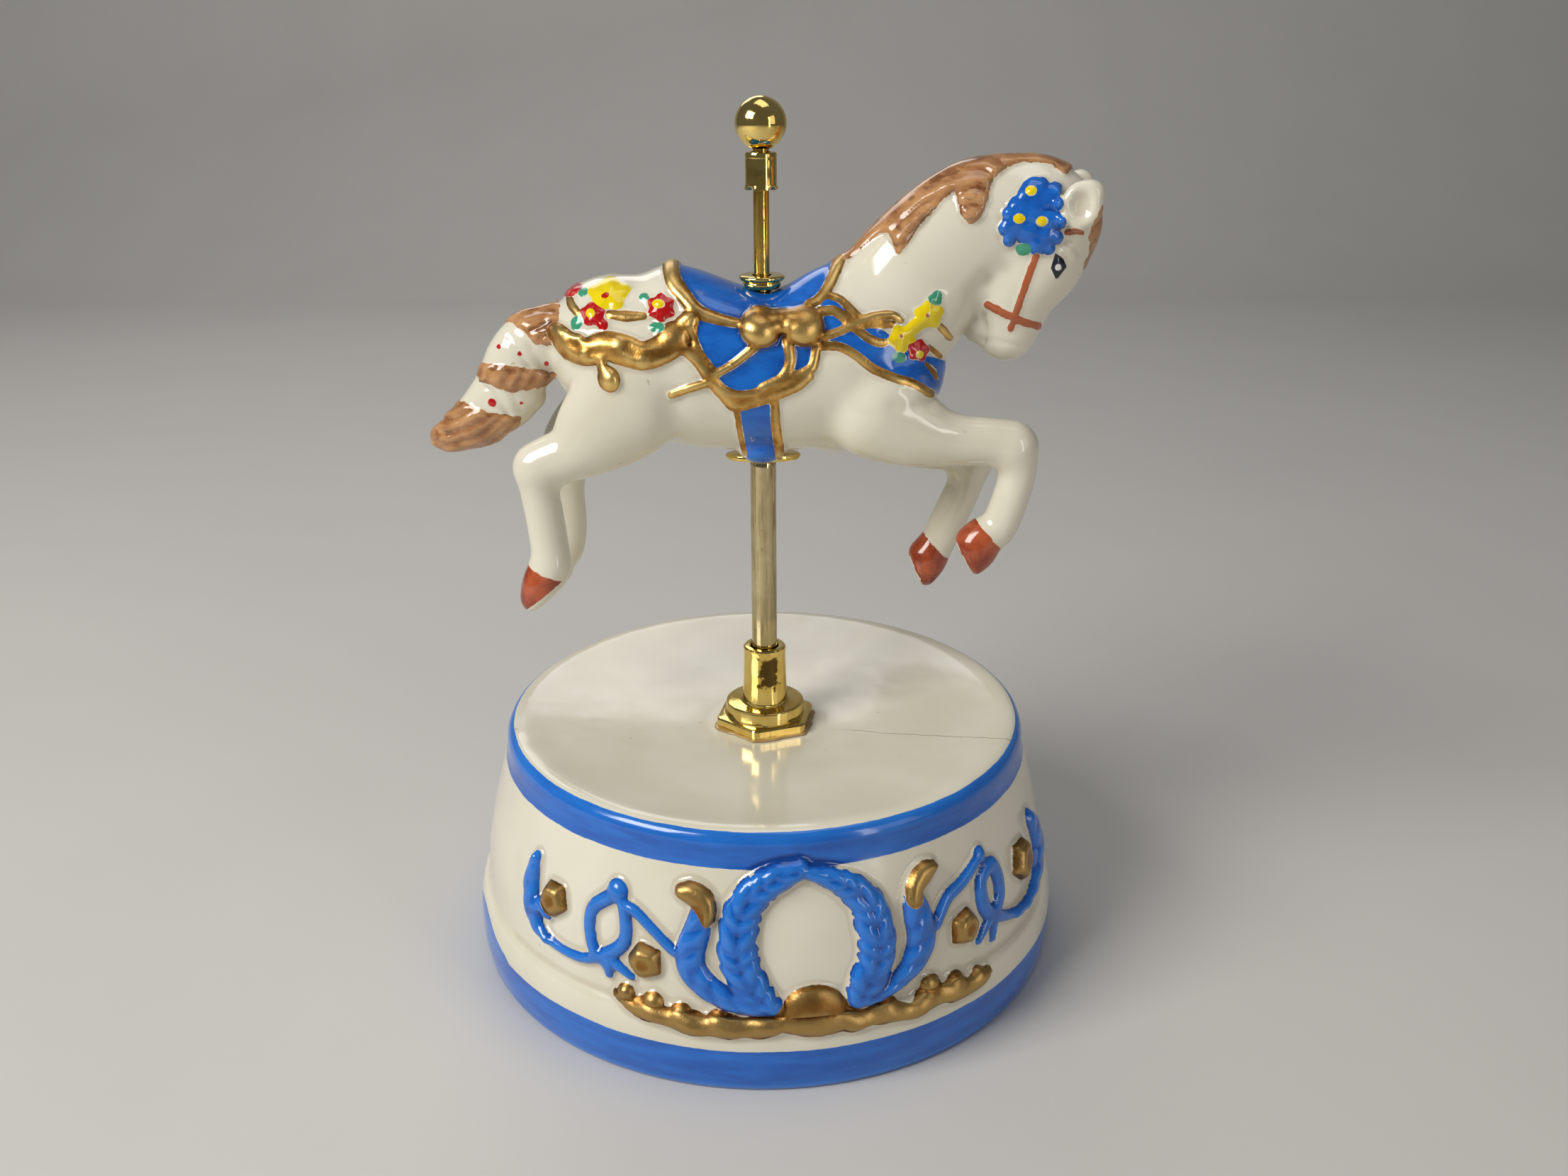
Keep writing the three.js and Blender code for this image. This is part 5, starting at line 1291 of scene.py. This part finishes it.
def build_cover():
    """The round cover under the base: a shallow rim, two moulded rings and its screw holes."""
    low, high = COVER_LOW, COVER_HIGH
    rows = [(4.2, high), (4.2, low + 0.1), (4.4, low), (12, low), (12.3, low + 0.25), (13.2, low + 0.25),
            (13.5, low), (33, low), (33.3, low + 0.25), (34.2, low + 0.25), (34.5, low), (45.4, low)]
    rows += [(46, low + 0.02), (49.6, low + 0.02), (49.9, low + 0.2), (50, low + 0.5), (50, high - 0.2)]
    rows += [(49.8, high)]
    cover = lathe("bottom_cover_fine", rows[::-1], "base", "cover_plastic", ["bottom_cover"], 180, 50)
    holes = []
    for name in ("cover_screw", "movement_screw"):
        for n in (1, 2, 3):
            a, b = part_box(f"{name}_{n}")
            holes.append(((a.x + b.x) / 2, (a.y + b.y) / 2))
    middle = (low + high) / 2
    for x, y in holes:
        place = (x, y, middle * MM)
        bpy.ops.mesh.primitive_cylinder_add(vertices=40, radius=1.4 * MM, depth=8 * MM, location=place)
        cutter = bpy.context.object
        modifier = cover.modifiers.new("hole", "BOOLEAN")
        modifier.operation = "DIFFERENCE"
        modifier.solver = "EXACT"
        modifier.object = cutter
        depsgraph = bpy.context.evaluated_depsgraph_get()
        mesh = bpy.data.meshes.new_from_object(cover.evaluated_get(depsgraph))
        cover.modifiers.clear()
        cover.data = mesh
        bpy.data.objects.remove(cutter)
    cover.data.set_sharp_from_angle(angle=math.radians(40))
    return cover


# ------------------------------------------------------------------ materials


def srgb(r, g, b):
    """A display colour as the linear colour a socket wants."""
    return tuple(c / 12.92 if c < 0.04 else ((c + 0.055) / 1.055) ** 2.4 for c in (r, g, b)) + (1.0,)


class Look:
    """A node material, built a socket at a time."""

    def __init__(self, name):
        self.material = bpy.data.materials.new(name)
        self.material.use_nodes = True
        self.tree = self.material.node_tree
        self.tree.nodes.clear()
        self.place = self.node("ShaderNodeTexCoord").outputs["Object"]

    def node(self, kind, inputs=None, **settings):
        n = self.tree.nodes.new(kind)
        for key, value in settings.items():
            setattr(n, key, value)
        for key, value in (inputs or {}).items():
            if isinstance(value, bpy.types.NodeSocket):
                self.tree.links.new(value, n.inputs[key])
            else:
                n.inputs[key].default_value = value
        return n

    def noise(self, size_mm, detail=4.0, stretch=(1, 1, 1), rough=0.55):
        """Uneven values round a half, with features about this size."""
        moved = self.node("ShaderNodeMapping", {"Vector": self.place, "Scale": stretch})
        inputs = {"Vector": moved.outputs[0], "Scale": 1 / (size_mm * MM), "Detail": detail, "Roughness": rough}
        return self.node("ShaderNodeTexNoise", inputs).outputs["Fac"]

    def ramp(self, value, low, high, bottom=0.0, top=1.0):
        inputs = {"Value": value, 1: low, 2: high, 3: bottom, 4: top}
        return self.node("ShaderNodeMapRange", inputs, interpolation_type="SMOOTHSTEP").outputs[0]

    def math(self, operation, a, b=0.0):
        return self.node("ShaderNodeMath", {0: a, 1: b}, operation=operation).outputs[0]

    def mix(self, factor, a, b):
        return self.node("ShaderNodeMix", {0: factor, 6: a, 7: b}, data_type="RGBA").outputs[2]

    def lerp(self, factor, a, b):
        return self.node("ShaderNodeMix", {0: factor, 2: a, 3: b}, data_type="FLOAT").outputs[0]

    def columns(self, name):
        vector = self.node("ShaderNodeAttribute", attribute_name=name).outputs["Vector"]
        return self.node("ShaderNodeSeparateXYZ", {0: vector}).outputs

    def bump(self, height, strength, distance_mm):
        inputs = {"Height": height, "Strength": strength, "Distance": distance_mm * MM}
        return self.node("ShaderNodeBump", inputs).outputs[0]

    def finish(self, **inputs):
        names = {k.replace("_", " "): v for k, v in inputs.items()}
        shader = self.node("ShaderNodeBsdfPrincipled", names)
        self.node("ShaderNodeOutputMaterial", {"Surface": shader.outputs[0]})
        return self.material


def cream_glaze(m, shade):
    """Cream body colour, a little uneven, with painted shade: darker and warmer in the hollows."""
    cloud = m.ramp(m.noise(22, 3), 0.35, 0.68)
    base = m.mix(cloud, srgb(0.865, 0.84, 0.755), srgb(0.89, 0.87, 0.795))
    speck = m.ramp(m.noise(2.2, 2, rough=0.4), 0.76, 0.80)
    base = m.mix(m.math("MULTIPLY", speck, 0.35), base, srgb(0.55, 0.47, 0.36))
    # painted shade: darker, warmer cream in the hollows
    return m.mix(m.math("MULTIPLY", shade, 0.4), base, srgb(0.66, 0.59, 0.48))


def blue_glaze(m, shade, ridge_highlight, streak=(1, 1, 6)):
    """Cobalt with brush marks, with painted shade in the hollows and a painted highlight on the ridges."""
    brush = m.ramp(m.noise(5, 5, streak, 0.6), 0.3, 0.7)
    base = m.mix(brush, srgb(0.06, 0.34, 0.70), srgb(0.11, 0.43, 0.80))
    # painted highlight: paler cobalt on the ridges
    base = m.mix(m.math("MULTIPLY", ridge_highlight, 0.4), base, srgb(0.22, 0.55, 0.90))
    # painted shade: dark cobalt in the hollows
    return m.mix(m.math("MULTIPLY", shade, 0.75), base, srgb(0.02, 0.17, 0.45))


def old_gold(m, shade, ridge_highlight):
    """Brushed-on gold, unevenly worn, with a painted highlight on the ridges and painted shadow, dark brown, in
    the hollows.
    """
    worn = m.ramp(m.noise(3, 4), 0.35, 0.7)
    base = m.mix(worn, srgb(0.66, 0.46, 0.20), srgb(0.85, 0.65, 0.34))
    # painted highlight: pale gold on the ridges
    base = m.mix(m.math("MULTIPLY", ridge_highlight, 0.7), base, srgb(0.98, 0.85, 0.54))
    # painted shadow: dark brown in the hollows
    return m.mix(m.math("MULTIPLY", shade, 0.85), base, srgb(0.27, 0.15, 0.05))


def painted(m, distance, wobble=0.12):
    """1 inside a painted area, with a hand-painted edge."""
    uneven = m.math("MULTIPLY", m.math("SUBTRACT", m.noise(1.6, 2), 0.5), wobble * 4)
    return m.ramp(m.math("ADD", distance, uneven), -0.07, 0.07)


def horse_look():
    """Cream glaze with the horse's painted colours laid over it one by one, the gold last, with painted shade
    in the hollows, painted highlights on the ridges and a painted glint in the eye.
    """
    m = Look("horse_look")
    cloth = m.columns("cloth")
    bloom = m.columns("bloom")
    line = m.columns("line")
    form = m.columns("form")
    # masks for painted shade in the hollows and a painted highlight on the ridges
    shade = m.ramp(form[0], 0.08, 0.75)
    ridge_highlight = m.ramp(form[0], -0.1, -0.7)
    colour = cream_glaze(m, shade)
    hair = m.mix(m.ramp(m.noise(4, 5, (1, 1, 1.5)), 0.3, 0.7), srgb(0.60, 0.40, 0.24), srgb(0.76, 0.56, 0.37))
    # painted shade: dark brown in the grooves of the mane and tail
    hair = m.mix(m.math("MULTIPLY", shade, 0.65), hair, srgb(0.34, 0.17, 0.07))
    smear = m.ramp(m.noise(5, 5, (1, 1, 2), 0.6), 0.54, 0.62)
    hair = m.mix(m.math("MULTIPLY", smear, 0.6), hair, srgb(0.38, 0.19, 0.09))
    # painted highlight: pale brown on the ridges of the mane and tail
    hair = m.mix(m.math("MULTIPLY", ridge_highlight, 0.35), hair, srgb(0.84, 0.66, 0.46))
    hoof = m.mix(m.ramp(m.noise(5, 4), 0.35, 0.7), srgb(0.52, 0.19, 0.10), srgb(0.72, 0.35, 0.20))
    gold_area = painted(m, cloth[1], 0.08)
    colour = m.mix(painted(m, cloth[2], 0.3), colour, hair)
    colour = m.mix(painted(m, line[2], 0.2), colour, hoof)
    cobalt = blue_glaze(m, shade, m.math("MULTIPLY", ridge_highlight, 0.4), (1, 1, 2))
    colour = m.mix(painted(m, cloth[0]), colour, cobalt)
    # painted shade: the bridle strap darker in the hollows
    strap = m.mix(shade, srgb(0.69, 0.36, 0.20), srgb(0.46, 0.20, 0.10))
    colour = m.mix(painted(m, line[0], 0.15), colour, strap)
    colour = m.mix(painted(m, bloom[2]), colour, srgb(0.24, 0.60, 0.47))
    thin = m.math("MULTIPLY", m.ramp(m.noise(2, 3), 0.55, 0.7), 0.45)
    petal = m.mix(thin, srgb(0.72, 0.05, 0.06), srgb(0.93, 0.6, 0.56))
    colour = m.mix(painted(m, bloom[0]), colour, petal)
    lemon = m.mix(m.noise(4), srgb(0.90, 0.76, 0.02), srgb(0.96, 0.88, 0.06))
    colour = m.mix(painted(m, bloom[1]), colour, lemon)
    colour = m.mix(painted(m, line[1], 0.05), colour, srgb(0.07, 0.10, 0.17))
    # painted highlight: the white glint in the eye
    colour = m.mix(m.ramp(form[1], -0.05, 0.1), colour, srgb(0.92, 0.92, 0.90))
    colour = m.mix(gold_area, colour, old_gold(m, shade, ridge_highlight))
    uneven = m.ramp(m.noise(6, 4), 0.3, 0.75, 0.0, 0.09)
    rough = m.lerp(gold_area, m.math("ADD", uneven, 0.10), m.math("ADD", uneven, 0.30))
    grain = m.lerp(gold_area, m.noise(9, 2), m.noise(0.8, 4))
    return m.finish(
        Base_Color=colour, Metallic=m.math("MULTIPLY", gold_area, 0.92), Roughness=rough,
        Coat_Weight=m.lerp(gold_area, 0.35, 0.1), Coat_Roughness=0.04, Normal=m.bump(grain, 0.25, 0.25),
    )


def base_look():
    """Cream glaze with blue, bronze gold and a hairline crack, painted shade in the hollows and painted
    highlights on the ridges. The foot and the inside stay unglazed.
    """
    m = Look("base_look")
    paint = m.columns("paint")
    form = m.columns("form")
    # masks for painted shade in the hollows and a painted highlight on the ridges
    shade = m.ramp(form[0], 0.08, 0.7)
    ridge_highlight = m.ramp(form[0], -0.1, -0.7)
    colour = cream_glaze(m, m.math("MULTIPLY", shade, 0.8))
    cracks = crack_lines(m)
    colour = m.mix(m.math("MULTIPLY", cracks, 0.75), colour, srgb(0.58, 0.52, 0.42))
    gold_area = painted(m, paint[1], 0.08)
    colour = m.mix(painted(m, paint[0], 0.05), colour, blue_glaze(m, shade, ridge_highlight, (0.35, 0.35, 2.5)))
    bronze = m.mix(0.55, old_gold(m, shade, ridge_highlight), srgb(0.45, 0.29, 0.13))
    colour = m.mix(gold_area, colour, bronze)
    bisque = m.mix(m.noise(1.5, 5), srgb(0.74, 0.70, 0.62), srgb(0.84, 0.81, 0.75))
    bare = m.ramp(paint[2], -0.1, 0.4)
    colour = m.mix(bare, colour, bisque)
    uneven = m.ramp(m.noise(7, 4), 0.3, 0.75, 0.0, 0.10)
    glossy = m.lerp(gold_area, m.math("ADD", uneven, 0.10), m.math("ADD", uneven, 0.34))
    rough = m.lerp(bare, glossy, 0.75)
    grain = m.lerp(gold_area, m.noise(11, 2), m.noise(0.9, 4))
    return m.finish(
        Base_Color=colour, Metallic=m.math("MULTIPLY", gold_area, 0.92), Roughness=rough,
        Coat_Weight=m.lerp(m.math("MAXIMUM", gold_area, bare), 0.3, 0.05), Coat_Roughness=0.05,
        Normal=m.bump(grain, 0.25, 0.3),
    )


def crack_lines(m):
    """A fine hairline across the lid, from the ferrule to the rim."""
    split = m.node("ShaderNodeSeparateXYZ", {0: m.place}).outputs
    wander = m.math("MULTIPLY", m.math("SUBTRACT", m.noise(16, 4), 0.5), 6 * MM)
    slope = m.math("MULTIPLY", m.math("SUBTRACT", split[0], 12 * MM), 0.38)
    off = m.math("ABSOLUTE", m.math("ADD", m.math("ADD", split[1], slope), m.math("ADD", wander, 4 * MM)))
    line = m.math("MULTIPLY", m.ramp(off, 0.22 * MM, 0.06 * MM), m.ramp(split[0], 11 * MM, 20 * MM))
    return m.math("MULTIPLY", line, m.ramp(split[2], (SEAT_Z - 0.6) * MM, (SEAT_Z - 0.2) * MM))


def metal_look(
    name, dark, light, rough, scratch=0.15, patch=0.0, stretch=(1, 1, 0.15), tarnish=(0.25, 0.18, 0.1)
):
    """Plated or turned metal: uneven polish, fine turning marks and dull patches."""
    m = Look(name)
    colour = m.mix(m.ramp(m.noise(7, 4), 0.3, 0.7), srgb(*dark), srgb(*light))
    marks = m.ramp(m.noise(0.7, 5, stretch), 0.42, 0.62)
    dull = m.ramp(m.noise(5, 6, rough=0.65), 0.58, 0.66)
    colour = m.mix(m.math("MULTIPLY", dull, patch), colour, srgb(*tarnish))
    uneven = m.math("MULTIPLY", marks, scratch)
    roughness = m.math("ADD", m.math("ADD", uneven, rough), m.math("MULTIPLY", dull, patch * 0.3))
    return m.finish(Base_Color=colour, Metallic=1.0, Roughness=roughness, Normal=m.bump(marks, 0.15, 0.05))


def plate_look():
    """Bright gold plate, rubbed through to dark metal on one face of the ferrule's cone."""
    m = Look("gold_plate_look")
    colour = m.mix(m.ramp(m.noise(7, 4), 0.3, 0.7), srgb(0.90, 0.76, 0.40), srgb(0.98, 0.88, 0.56))
    marks = m.ramp(m.noise(0.7, 5, (1, 1, 0.15)), 0.42, 0.62)
    split = m.node("ShaderNodeSeparateXYZ", {0: m.place}).outputs
    ragged = m.math("MULTIPLY", m.math("SUBTRACT", m.noise(1.6, 5), 0.5), 5 * MM)
    across = m.math("ADD", m.math("ABSOLUTE", m.math("SUBTRACT", split[0], RUBBED_X * MM)), ragged)
    along = m.math("ADD", m.math("ABSOLUTE", m.math("SUBTRACT", split[2], RUBBED_Z * MM)), ragged)
    rubbed = m.math("MULTIPLY", m.ramp(across, 2.2 * MM, 1.6 * MM), m.ramp(along, 3.4 * MM, 2.7 * MM))
    rubbed = m.math("MULTIPLY", rubbed, m.ramp(split[1], -2 * MM, -3 * MM))
    colour = m.mix(m.math("MULTIPLY", rubbed, 0.9), colour, srgb(0.22, 0.13, 0.06))
    rough = m.math("ADD", m.math("MULTIPLY", marks, 0.05), m.math("MULTIPLY", rubbed, 0.3))
    return m.finish(
        Base_Color=colour, Metallic=1.0, Roughness=m.math("ADD", rough, 0.06), Normal=m.bump(marks, 0.1, 0.04),
    )


def tube_look():
    """Satin gold tube, scratched through to dark metal in long streaks and small chips."""
    m = Look("worn_tube_look")
    colour = m.mix(m.ramp(m.noise(9, 4), 0.3, 0.7), srgb(0.74, 0.67, 0.50), srgb(0.85, 0.79, 0.62))
    streak = m.ramp(m.noise(0.6, 5, (1, 1, 0.06), 0.6), 0.48, 0.66)
    chips = m.ramp(m.noise(0.5, 6, (1, 1, 0.6), 0.7), 0.62, 0.68)
    worn = m.math("MAXIMUM", m.math("MULTIPLY", streak, 0.3), m.math("MULTIPLY", chips, 0.6))
    colour = m.mix(worn, colour, srgb(0.25, 0.20, 0.13))
    rough = m.math("ADD", m.math("MULTIPLY", worn, 0.3), 0.12)
    return m.finish(Base_Color=colour, Metallic=1.0, Roughness=rough, Normal=m.bump(worn, -0.3, 0.06))


def moulded_look(name, dark, light, rough, coat=0.0, subsurface=0.0):
    """Moulded plastic or set glue with a fine grain."""
    m = Look(name)
    colour = m.mix(m.ramp(m.noise(6, 5), 0.3, 0.7), srgb(*dark), srgb(*light))
    grain = m.noise(0.6, 3)
    roughness = m.ramp(m.noise(3, 4), 0.2, 0.8, rough, rough + 0.15)
    return m.finish(
        Base_Color=colour, Roughness=roughness, Coat_Weight=coat, Subsurface_Weight=subsurface,
        Subsurface_Scale=0.001, Normal=m.bump(grain, 0.3, 0.08),
    )


def make_looks():
    """A look for each material slot."""
    even = (1, 1, 1)
    grey = (0.3, 0.27, 0.24)
    dull = (0.4, 0.38, 0.36)
    steel = metal_look("steel_look", (0.55, 0.56, 0.58), (0.72, 0.73, 0.75), 0.25, 0.15, 0.3, even, grey)
    spring = metal_look("spring_look", (0.25, 0.29, 0.38), (0.36, 0.42, 0.52), 0.25, 0.1, 0.2, even)
    zinc = metal_look("zinc_look", (0.60, 0.61, 0.62), (0.74, 0.75, 0.76), 0.32, 0.15, 0.3, even, dull)
    brass = metal_look("brass_look", (0.72, 0.56, 0.28), (0.85, 0.70, 0.40), 0.25, 0.15, 0.3, even)
    return {
        "horse_glaze": horse_look(),
        "base_glaze": base_look(),
        "gold_plate": plate_look(),
        "worn_tube": tube_look(),
        "rod_brass": metal_look("rod_brass_look", (0.84, 0.67, 0.30), (0.95, 0.80, 0.42), 0.10, 0.08, 0.2),
        "adhesive": moulded_look("adhesive_look", (0.58, 0.46, 0.24), (0.74, 0.62, 0.38), 0.18, 0.6, 0.2),
        "cover_plastic": moulded_look("cover_look", (0.12, 0.115, 0.11), (0.18, 0.17, 0.16), 0.48),
        "nylon": moulded_look("nylon_look", (0.82, 0.81, 0.76), (0.9, 0.89, 0.85), 0.35, 0.0, 0.1),
        "steel": steel,
        "spring_steel": spring,
        "zinc": zinc,
        "movement_brass": brass,
    }


def dress(looks):
    """Puts each slot's look on the new pieces and on the CAD nodes that are still shown."""
    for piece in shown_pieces():
        name = piece.get("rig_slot") or piece.data.materials[0].name.split(".")[0]
        if name not in looks:
            raise SystemExit(f"no look for {piece.name} ({name})")
        piece.data.materials.clear()
        piece.data.materials.append(looks[name])
        if "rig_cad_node" in piece:
            piece.data.shade_smooth()
            piece.data.set_sharp_from_angle(angle=math.radians(32))


# ------------------------------------------------------------------ stage, light and camera


def build_stage():
    """A pale floor that sweeps up behind."""
    radius, depth, height, half = 0.35, 1.1, 1.4, 2.2
    rows = [(-2.5, 0.0)]
    rows += [(y, 0.0) for y in np.linspace(-1, depth - radius, 4)]
    for a in np.linspace(0, math.pi / 2, 14):
        rows.append((depth - radius + radius * math.sin(a), radius - radius * math.cos(a)))
    rows.append((depth, height))
    points = [(x, y, z) for y, z in rows for x in (-half, half)]
    faces = [(2 * i, 2 * i + 1, 2 * i + 3, 2 * i + 2) for i in range(len(rows) - 1)]
    mesh = bpy.data.meshes.new("studio_floor")
    mesh.from_pydata(points, [], faces)
    mesh.shade_smooth()
    floor = bpy.data.objects.new("studio_floor", mesh)
    bpy.context.scene.collection.objects.link(floor)
    m = Look("floor_look")
    colour = m.mix(m.noise(90, 3), srgb(0.80, 0.79, 0.77), srgb(0.83, 0.82, 0.80))
    mesh.materials.append(m.finish(Base_Color=colour, Roughness=0.6))


def softbox(name, place, aim, size, power, colour=(1, 1, 1)):
    data = bpy.data.lights.new(name, "AREA")
    data.shape = "RECTANGLE"
    data.size, data.size_y = size
    data.energy = power
    data.color = colour
    lamp = bpy.data.objects.new(name, data)
    bpy.context.scene.collection.objects.link(lamp)
    lamp.location = place
    lamp.rotation_euler = (Vector(aim) - Vector(place)).to_track_quat("-Z", "Y").to_euler()


def build_light():
    """A large soft key from the left, weak fills round it and a dim sky."""
    bpy.context.scene.view_settings.view_transform = "Standard"
    softbox("key", (-0.62, -0.42, 0.62), (0, 0, 0.08), (0.5, 0.4), 7.6, (1.0, 0.985, 0.96))
    softbox("top", (0.05, 0.05, 0.95), (0, 0, 0.08), (0.6, 0.4), 0.9)
    softbox("fill", (0.75, -0.5, 0.35), (0, 0, 0.08), (0.3, 0.5), 0.45, (1.0, 0.95, 0.9))
    softbox("back", (-0.2, 0.75, 0.6), (0, 0, 0.1), (0.5, 0.3), 0.8)
    softbox("edge", (0.42, -0.5, 0.22), (0, 0, 0.09), (0.07, 0.45), 0.5, (1.0, 0.97, 0.93))
    world = bpy.data.worlds.new("studio_world")
    bpy.context.scene.world = world
    world.use_nodes = True
    background = world.node_tree.nodes["Background"]
    background.inputs["Color"].default_value = (0.92, 0.94, 1.0, 1)
    background.inputs["Strength"].default_value = 0.12


def build_camera():
    """A camera at the station from which the elevation drawings were made."""
    data = bpy.data.cameras.new("camera")
    data.lens = CAMERA_LENS
    data.sensor_width = 36
    data.dof.use_dof = False
    data.clip_start = 0.01
    camera = bpy.data.objects.new("camera", data)
    bpy.context.scene.collection.objects.link(camera)
    turn = Matrix.Rotation(math.radians(CAMERA_TURN), 4, "Z")
    pitch = Matrix.Rotation(math.radians(90 - CAMERA_PITCH), 4, "X")
    roll = Matrix.Rotation(math.radians(CAMERA_ROLL), 4, "Z")
    camera.matrix_world = Matrix.Translation((0, STATION_Y * MM, STATION_Z * MM)) @ turn @ pitch @ roll
    bpy.context.scene.camera = camera


build_horse()
build_base()
build_fittings()
build_collar()
build_key()
build_cover()
dress(make_looks())
build_stage()
build_light()
build_camera()
